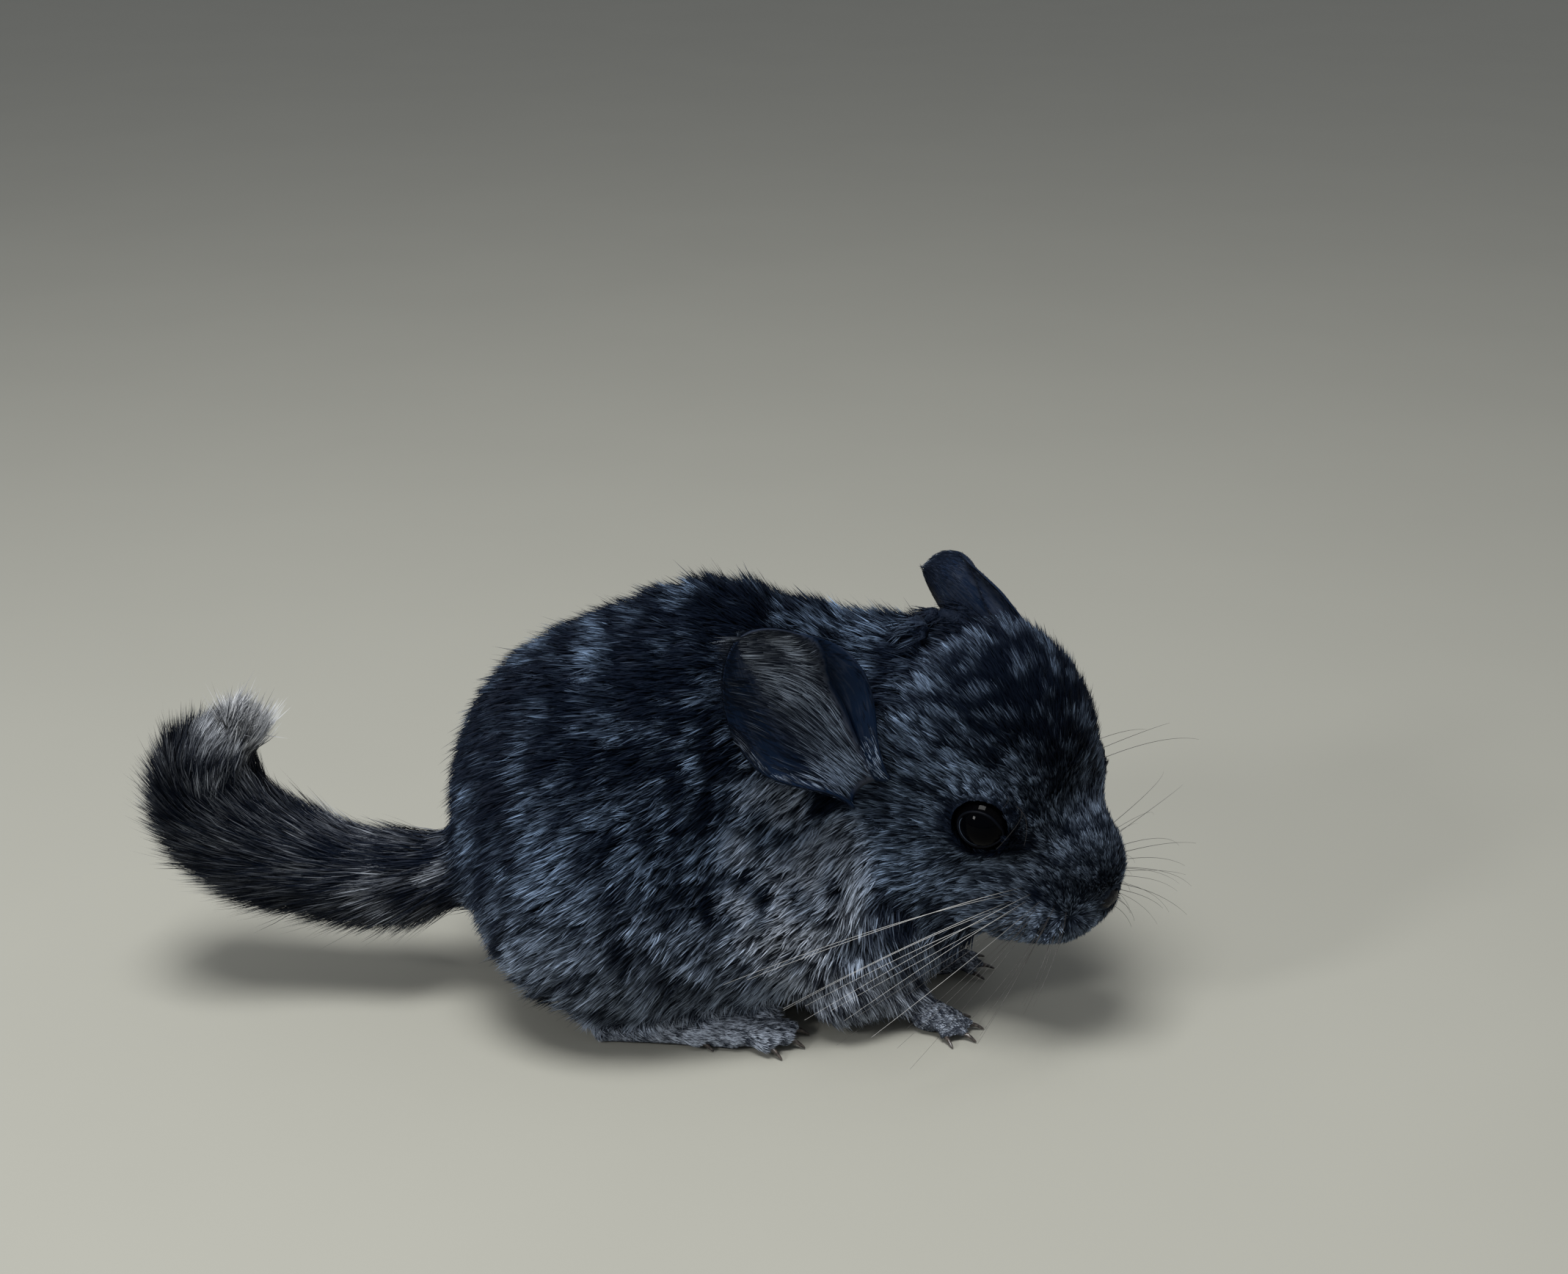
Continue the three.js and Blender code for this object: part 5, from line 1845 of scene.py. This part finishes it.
@dataclass
class EarCoat:
    """The hair of one ear: long and fine inside it, short on its back, pale at the rims."""

    anatomy: Anatomy
    ear: Ear
    tree: bpy.types.NodeTree
    inner_density: float = 8.0
    outer_density: float = 7.0
    root_length: float = 9.0
    tip_length: float = 5.0
    back_length: float = 1.7
    hair_width: float = 0.17
    stand_off: float = 0.3
    seed: int = 7

    def build(self) -> bpy.types.Object:
        """Grows the ear's hair."""
        random = np.random.default_rng(self.seed + self.ear.side.value)
        faces = [
            self._roots(1.0, self.inner_density, random),
            self._roots(0.0, self.outer_density, random),
        ]
        roots = {key: np.concatenate([face[key] for face in faces]) for key in faces[0]}
        return grown(self.anatomy, f"coat_ear_{self.ear.side.word}", 4, roots, self.tree, "ear")

    def _roots(
        self, inner: float, density: float, random: np.random.Generator
    ) -> dict[str, np.ndarray]:
        """Scatters the roots over one face of the ear and gives each its hair.

        Args:
            inner: 1 for the inside of the ear, 0 for its back.
            density: How many hairs grow on a square millimetre.
            random: What the scatter is drawn from.

        Returns:
            What each root carries, by name.
        """
        places, normals = self.ear.surface()
        grid_t, grid_across = self.ear.grid()
        up, over = np.gradient(places, axis=0), np.gradient(places, axis=1)
        area = np.linalg.norm(np.cross(up, over), axis=-1)[:-1, :-1]
        count = np.floor(area * density + random.random(area.shape)).astype(int).ravel()
        row, column = (np.repeat(index.ravel(), count) for index in np.indices(area.shape))
        a, b = random.random((2, len(row), 1))

        def at(values: np.ndarray) -> np.ndarray:
            """The values of the grid at the scattered roots."""
            near = values[row, column] * (1 - a) + values[row + 1, column] * a
            far = values[row, column + 1] * (1 - a) + values[row + 1, column + 1] * a
            return near * (1 - b) + far * b

        t, across = at(grid_t[..., None])[:, 0], at(grid_across[..., None])[:, 0]
        out = unit(at(normals)) * (1.0 if inner else -1.0)
        up, over = unit(at(up)), unit(at(over))
        rim = smooth(np.abs(across), 0.8, 1.0)
        notch = 1.0 - smooth(t, 0.1, 0.26)
        lower = smooth(-across, 0.72, 0.95) * (1.0 - smooth(t, 0.4, 0.75))
        beyond = smooth(across, self.ear.fold(t) - 0.03, self.ear.fold(t) + 0.04)
        # A painted highlight along the crest just inside the fold, where the rolled rim catches the
        # light.
        lit_crest = np.exp(-(((across - self.ear.fold(t) + 0.045) / 0.035) ** 2)) * smooth(t, 0.1, 0.3)
        pale = np.maximum(0.8 * notch, 0.6 * lower)
        if inner:
            # The inner hair follows the ear's paleness, with its painted shade in the hollow and
            # beyond the fold.
            tone = np.maximum(0.09 + 0.54 * self.ear.paleness(t, across), pale)
            tone += 0.22 * lit_crest
            longest = mix(self.root_length, self.tip_length, t)
            length = self.ear.shag * longest * mix(1.0, 0.6, notch)
            length = length * mix(1.0, 0.4, np.maximum(rim, beyond))
            sweep = -0.15 - 0.75 * smooth(t, 0.3, 1.0) + 0.5 * lower
            keep = mix(mix(0.12, 1.2, self.ear.paleness(t, across)), 1.0, np.maximum(pale, lit_crest))
            warm = mix(0.12, 0.45, t)
        else:
            tone = 0.1 + 0.3 * rim * (0.4 + 0.6 * lower) + 0.25 * smooth(t, 0.93, 1.0)
            length = np.full(len(t), self.back_length)
            sweep = np.zeros(len(t))
            keep = np.ones(len(t))
            warm = np.full(len(t), 0.15)
        size = len(t)
        way = unit(up + over * (sweep + random.normal(0, 0.06, size))[:, None])
        lift = np.radians(np.clip(random.normal(6.0 + 12.0 * notch, 2.5, size), 2.0, 30.0))[:, None]
        length = length * np.clip(random.normal(1.0, 0.15, size), 0.6, 1.4)
        roots = {
            "root": at(places) + out * self.stand_off,
            "grow": way * np.cos(lift) + out * np.sin(lift),
            "outside": unit(out + over * random.normal(0, 0.3, (size, 1))),
            "bend": (over * sweep[:, None] * 0.16 - out * np.sin(lift) * 0.55) * length[:, None],
            "length": length,
            "width": self.hair_width * random.uniform(0.8, 1.3, size),
            "tone": tone,
            "warm": warm,
            "shade": random.random(size),
            "root_uv": ear_map(t, across, np.full(size, inner)),
        }
        kept = random.random(size) < keep
        return {key: values[kept] for key, values in roots.items()}


@dataclass
class Claws:
    """The claws of one foot."""

    anatomy: Anatomy
    foot: str
    side: Side

    def build(self, material: bpy.types.Material) -> bpy.types.Object:
        """Makes the claws from their packed forms, rounder."""
        names = tuple(f"{self.foot}_claw_{self.side.word}_{i}" for i in range(1, 5))
        parts = [merged_copy(self.anatomy.nodes[name]) for name in names]
        obj = joined(parts, f"claws_{self.foot}_{self.side.word}")
        rounder = obj.modifiers.new("rounder", "SUBSURF")
        rounder.levels = rounder.render_levels = 2
        settled(obj)
        return placed(obj, material, names)


@dataclass
class WhiskerTree(NodeHand):
    """A Geometry Nodes tree that turns lines into fine tapered rods."""

    name: str
    material: bpy.types.Material
    sides: int = 5

    def build(self) -> bpy.types.NodeTree:
        """Wires the tree."""
        self.tree = bpy.data.node_groups.new(self.name, "GeometryNodeTree")
        face = self.tree.interface
        face.new_socket("Lines", in_out="INPUT", socket_type="NodeSocketGeometry")
        sides = face.new_socket("Sides", in_out="INPUT", socket_type="NodeSocketInt")
        sides.default_value = self.sides
        face.new_socket("Whiskers", in_out="OUTPUT", socket_type="NodeSocketGeometry")
        source = self.node("NodeGroupInput")
        curve = self.node("GeometryNodeMeshToCurve", {0: source.outputs["Lines"]})
        named = self.node("GeometryNodeInputNamedAttribute", {"Name": "radius"})
        thick = named.outputs["Attribute"]
        sized = self.node("GeometryNodeSetCurveRadius", {"Curve": curve.outputs[0], "Radius": thick})
        ring = self.node(
            "GeometryNodeCurvePrimitiveCircle",
            {"Radius": 1.0, "Resolution": source.outputs["Sides"]},
        )
        rod = self.node(
            "GeometryNodeCurveToMesh",
            {"Curve": sized.outputs[0], "Profile Curve": ring.outputs[0], "Fill Caps": True},
        )
        if "Scale" in rod.inputs:
            self.feed(rod.inputs["Scale"], thick)
        real = self.node("GeometryNodeRealizeInstances", {0: rod.outputs[0]})
        dressed = self.node(
            "GeometryNodeSetMaterial", {"Geometry": real.outputs[0], "Material": self.material}
        )
        self.node("NodeGroupOutput", {0: dressed.outputs[0]})
        return self.tree


@dataclass
class Whiskers:
    """The whiskers of one side, and the few long hairs over its eye."""

    anatomy: Anatomy
    side: Side
    swept: float
    longest: float
    paleness: float
    outwards: float
    droop: tuple = (-0.12, 0.0, -0.38)
    brow_root: tuple = (2.0, 13.6, 8.6)
    brow_hairs: int = 3
    brow_apart: float = 2.2
    brow_length: float = 19.0
    seed: int = 11
    rows: int = 5
    columns: int = 5
    steps: int = 14

    def _lines(self) -> list[tuple[np.ndarray, float, float]]:
        """Each whisker: its points in the body's frame, its radius at the root, how pale it is."""
        random = np.random.default_rng(self.seed + self.side.value)
        s = self.side.value
        lines = []
        for row in range(self.rows):
            for column in range(self.columns):
                back = column / (self.columns - 1)
                low = row / (self.rows - 1)
                root = np.array([mix(21.5, 14, back), mix(7, 10.5, back) * s, mix(-7.5, -14, low)])
                way = np.array([mix(0.75, self.swept, back), self.outwards * s, mix(0.16, -0.3, low)])
                way = unit(way + random.uniform(-0.09, 0.09, 3))
                length = mix(30, self.longest, back) * mix(1.0, 0.7, low)
                length *= random.uniform(0.75, 0.98)
                pale = self.paleness * smooth(back - 0.4 * low, 0.35, 0.7)
                hair = self._bowed(root, way, length, random)
                lines.append((hair, random.uniform(0.05, 0.08), pale))
        ahead, out, above = self.brow_root
        for i in range(self.brow_hairs):
            root = np.array([ahead + self.brow_apart * i, out * s, above])
            way = unit(np.array([0.5, 0.75 * s, 0.75]) + random.uniform(-0.15, 0.15, 3))
            length = self.brow_length + 5 * i
            lines.append((self._bowed(root, way, length, random), 0.07, 0.0))
        return lines

    def _bowed(
        self, root: np.ndarray, way: np.ndarray, length: float, random: np.random.Generator
    ) -> np.ndarray:
        """Points along one hair that bows down and back to its tip."""
        t = np.linspace(-0.04, 1.0, self.steps)[:, None]
        droop = np.array(self.droop) + random.uniform(-0.05, 0.05, 3)
        points = self.anatomy.head.out(root + way * t * length + droop * length * t**2)
        points[:, 2] = np.maximum(points[:, 2], 0.4)
        return points

    def build(self, tree: bpy.types.NodeTree, material: bpy.types.Material) -> bpy.types.Object:
        """Makes the whiskers as one mesh."""
        lines = self._lines()
        points = np.vstack([line for line, _, _ in lines])
        share = np.tile(np.linspace(0, 1, self.steps), len(lines))
        thick = np.repeat([radius for _, radius, _ in lines], self.steps) * mix(1.0, 0.25, share)
        pale = np.repeat([pale for _, _, pale in lines], self.steps)
        edges = [
            (i * self.steps + j, i * self.steps + j + 1)
            for i in range(len(lines))
            for j in range(self.steps - 1)
        ]
        obj = new_object(f"whiskers_{self.side.word}", self.anatomy.packed(points), [], edges)
        store(obj.data, "radius", thick * MILLIMETRE)
        store(obj.data, "along", share * pale)
        rods = obj.modifiers.new("rods", "NODES")
        rods.node_group = tree
        settled(obj)
        obj.data.shade_smooth()
        return placed(obj, material)


# The studio.


@dataclass(frozen=True)
class Softbox:
    """One square soft light: where it stands, its side in metres and its power in watts."""

    name: str
    place: tuple
    size: float
    power: float

    def build(self, target: tuple) -> None:
        """Hangs the light so that it faces the target."""
        light = bpy.data.lights.new(self.name, "AREA")
        light.size = self.size
        light.energy = self.power
        lamp = bpy.data.objects.new(self.name, light)
        lamp.location = self.place
        towards = Vector(target) - lamp.location
        lamp.rotation_euler = towards.to_track_quat("-Z", "Y").to_euler()
        bpy.context.scene.collection.objects.link(lamp)


SOFTBOXES = (
    Softbox("overhead", (-0.1, -0.2, 0.85), 0.36, 9.5),
    Softbox("window", (-0.75, -0.58, 0.57), 0.17, 4.4),
)


@dataclass
class Studio:
    """The floor, the lights and the camera."""

    anatomy: Anatomy
    target: tuple = (15.6, 0.0, 78.9)
    elevation: float = 21.0
    distance: float = 480.0
    lit: tuple = (0.0, 0.0, 0.04)
    surround: tuple = (0.92, 0.95, 1.0, 1.0)
    surround_strength: float = 0.36
    floor_reach: float = 6.0
    pixels_per_millimetre: float = 6.4
    frame_width: float = 2000.0

    def build(self) -> None:
        """Sets the stage."""
        self._floor()
        self._lights()
        self._camera()

    def _floor(self) -> None:
        """A plain pale floor."""
        reach = self.floor_reach
        corners = [(-reach, -reach, 0), (reach, -reach, 0), (reach, reach, 0), (-reach, reach, 0)]
        floor = new_object("floor", np.array(corners), [(0, 1, 2, 3)])
        floor.data.materials.append(FloorFinish().material())

    def _lights(self) -> None:
        """A soft light from above, a small one from the left front, and an even surround."""
        world = bpy.data.worlds.new("surround")
        world.use_nodes = True
        surround = world.node_tree.nodes["Background"]
        surround.inputs["Color"].default_value = self.surround
        surround.inputs["Strength"].default_value = self.surround_strength
        bpy.context.scene.world = world
        for softbox in SOFTBOXES:
            softbox.build(self.lit)

    def _camera(self) -> None:
        """The camera at the photograph's height, distance and angle of view."""
        data = bpy.data.cameras.new("camera")
        seen = self.frame_width / self.pixels_per_millimetre
        data.lens = data.sensor_width * self.distance / seen
        camera = bpy.data.objects.new("camera", data)
        rise = math.radians(self.elevation)
        back = np.array([0.0, -math.cos(rise), math.sin(rise)]) * self.distance
        camera.location = Vector(self.anatomy.packed(np.array(self.target) + back))
        camera.rotation_euler = (math.pi / 2 - rise, 0.0, 0.0)
        data.clip_start = 0.01
        data.clip_end = 50.0
        bpy.context.scene.collection.objects.link(camera)
        bpy.context.scene.camera = camera
        bpy.context.scene.view_settings.view_transform = "Standard"


WHISKERS = {
    Side.RIGHT: {"swept": -0.4, "longest": 69.0, "paleness": 1.0, "outwards": 1.25},
    Side.LEFT: {"swept": -0.05, "longest": 62.0, "paleness": 0.12, "outwards": 1.0},
}
EARS = {
    Side.RIGHT: {
        "root": (-19.6, -28, 0),
        "tip": (-0.66, -0.47, 0.63),
        "opening": (0.7, -0.61, 0.36),
    },
    Side.LEFT: {
        "root": (-10.5, 22, 7.5),
        "tip": (-0.98, 0.15, -0.02),
        "opening": (0.3, 0.9, 0.2),
        "shag": 0.35,
        "root_width": 0.3,
    },
}


def main() -> None:
    """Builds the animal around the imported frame, piece by piece."""
    logging.basicConfig(level=logging.INFO, format="%(name)s: %(message)s")
    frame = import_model()
    anatomy = Anatomy(frame["nodes"])
    Studio(anatomy).build()

    coat = CoatFinish()
    skin = Skin(anatomy)
    skin.build()
    placed(skin.object, coat.material(tufts=False), FLESH)
    tufts = TuftTree("tufts", coat.material(tufts=True)).build()
    Coat(anatomy, skin, tufts).build()

    eye = EyeFinish().material()
    lid = LidFinish().material()
    claw = HornFinish().material()
    ear_skin = EarFinish().material()
    nose = BareFinish().material()
    whisker = WhiskerFinish().material()
    rods = WhiskerTree("whisker_rods", whisker).build()
    Nose(anatomy).build(nose)
    for side in Side:
        Eye(anatomy, side).build(eye)
        LidEdge(anatomy, side).build(lid)
        ear = Ear(anatomy, side, **EARS[side])
        ear.build(ear_skin)
        EarCoat(anatomy, ear, tufts).build()
        Whiskers(anatomy, side, **WHISKERS[side]).build(rods, whisker)
        for foot in ("fore", "hind"):
            Claws(anatomy, foot, side).build(claw)


if __name__ == "__main__":
    main()
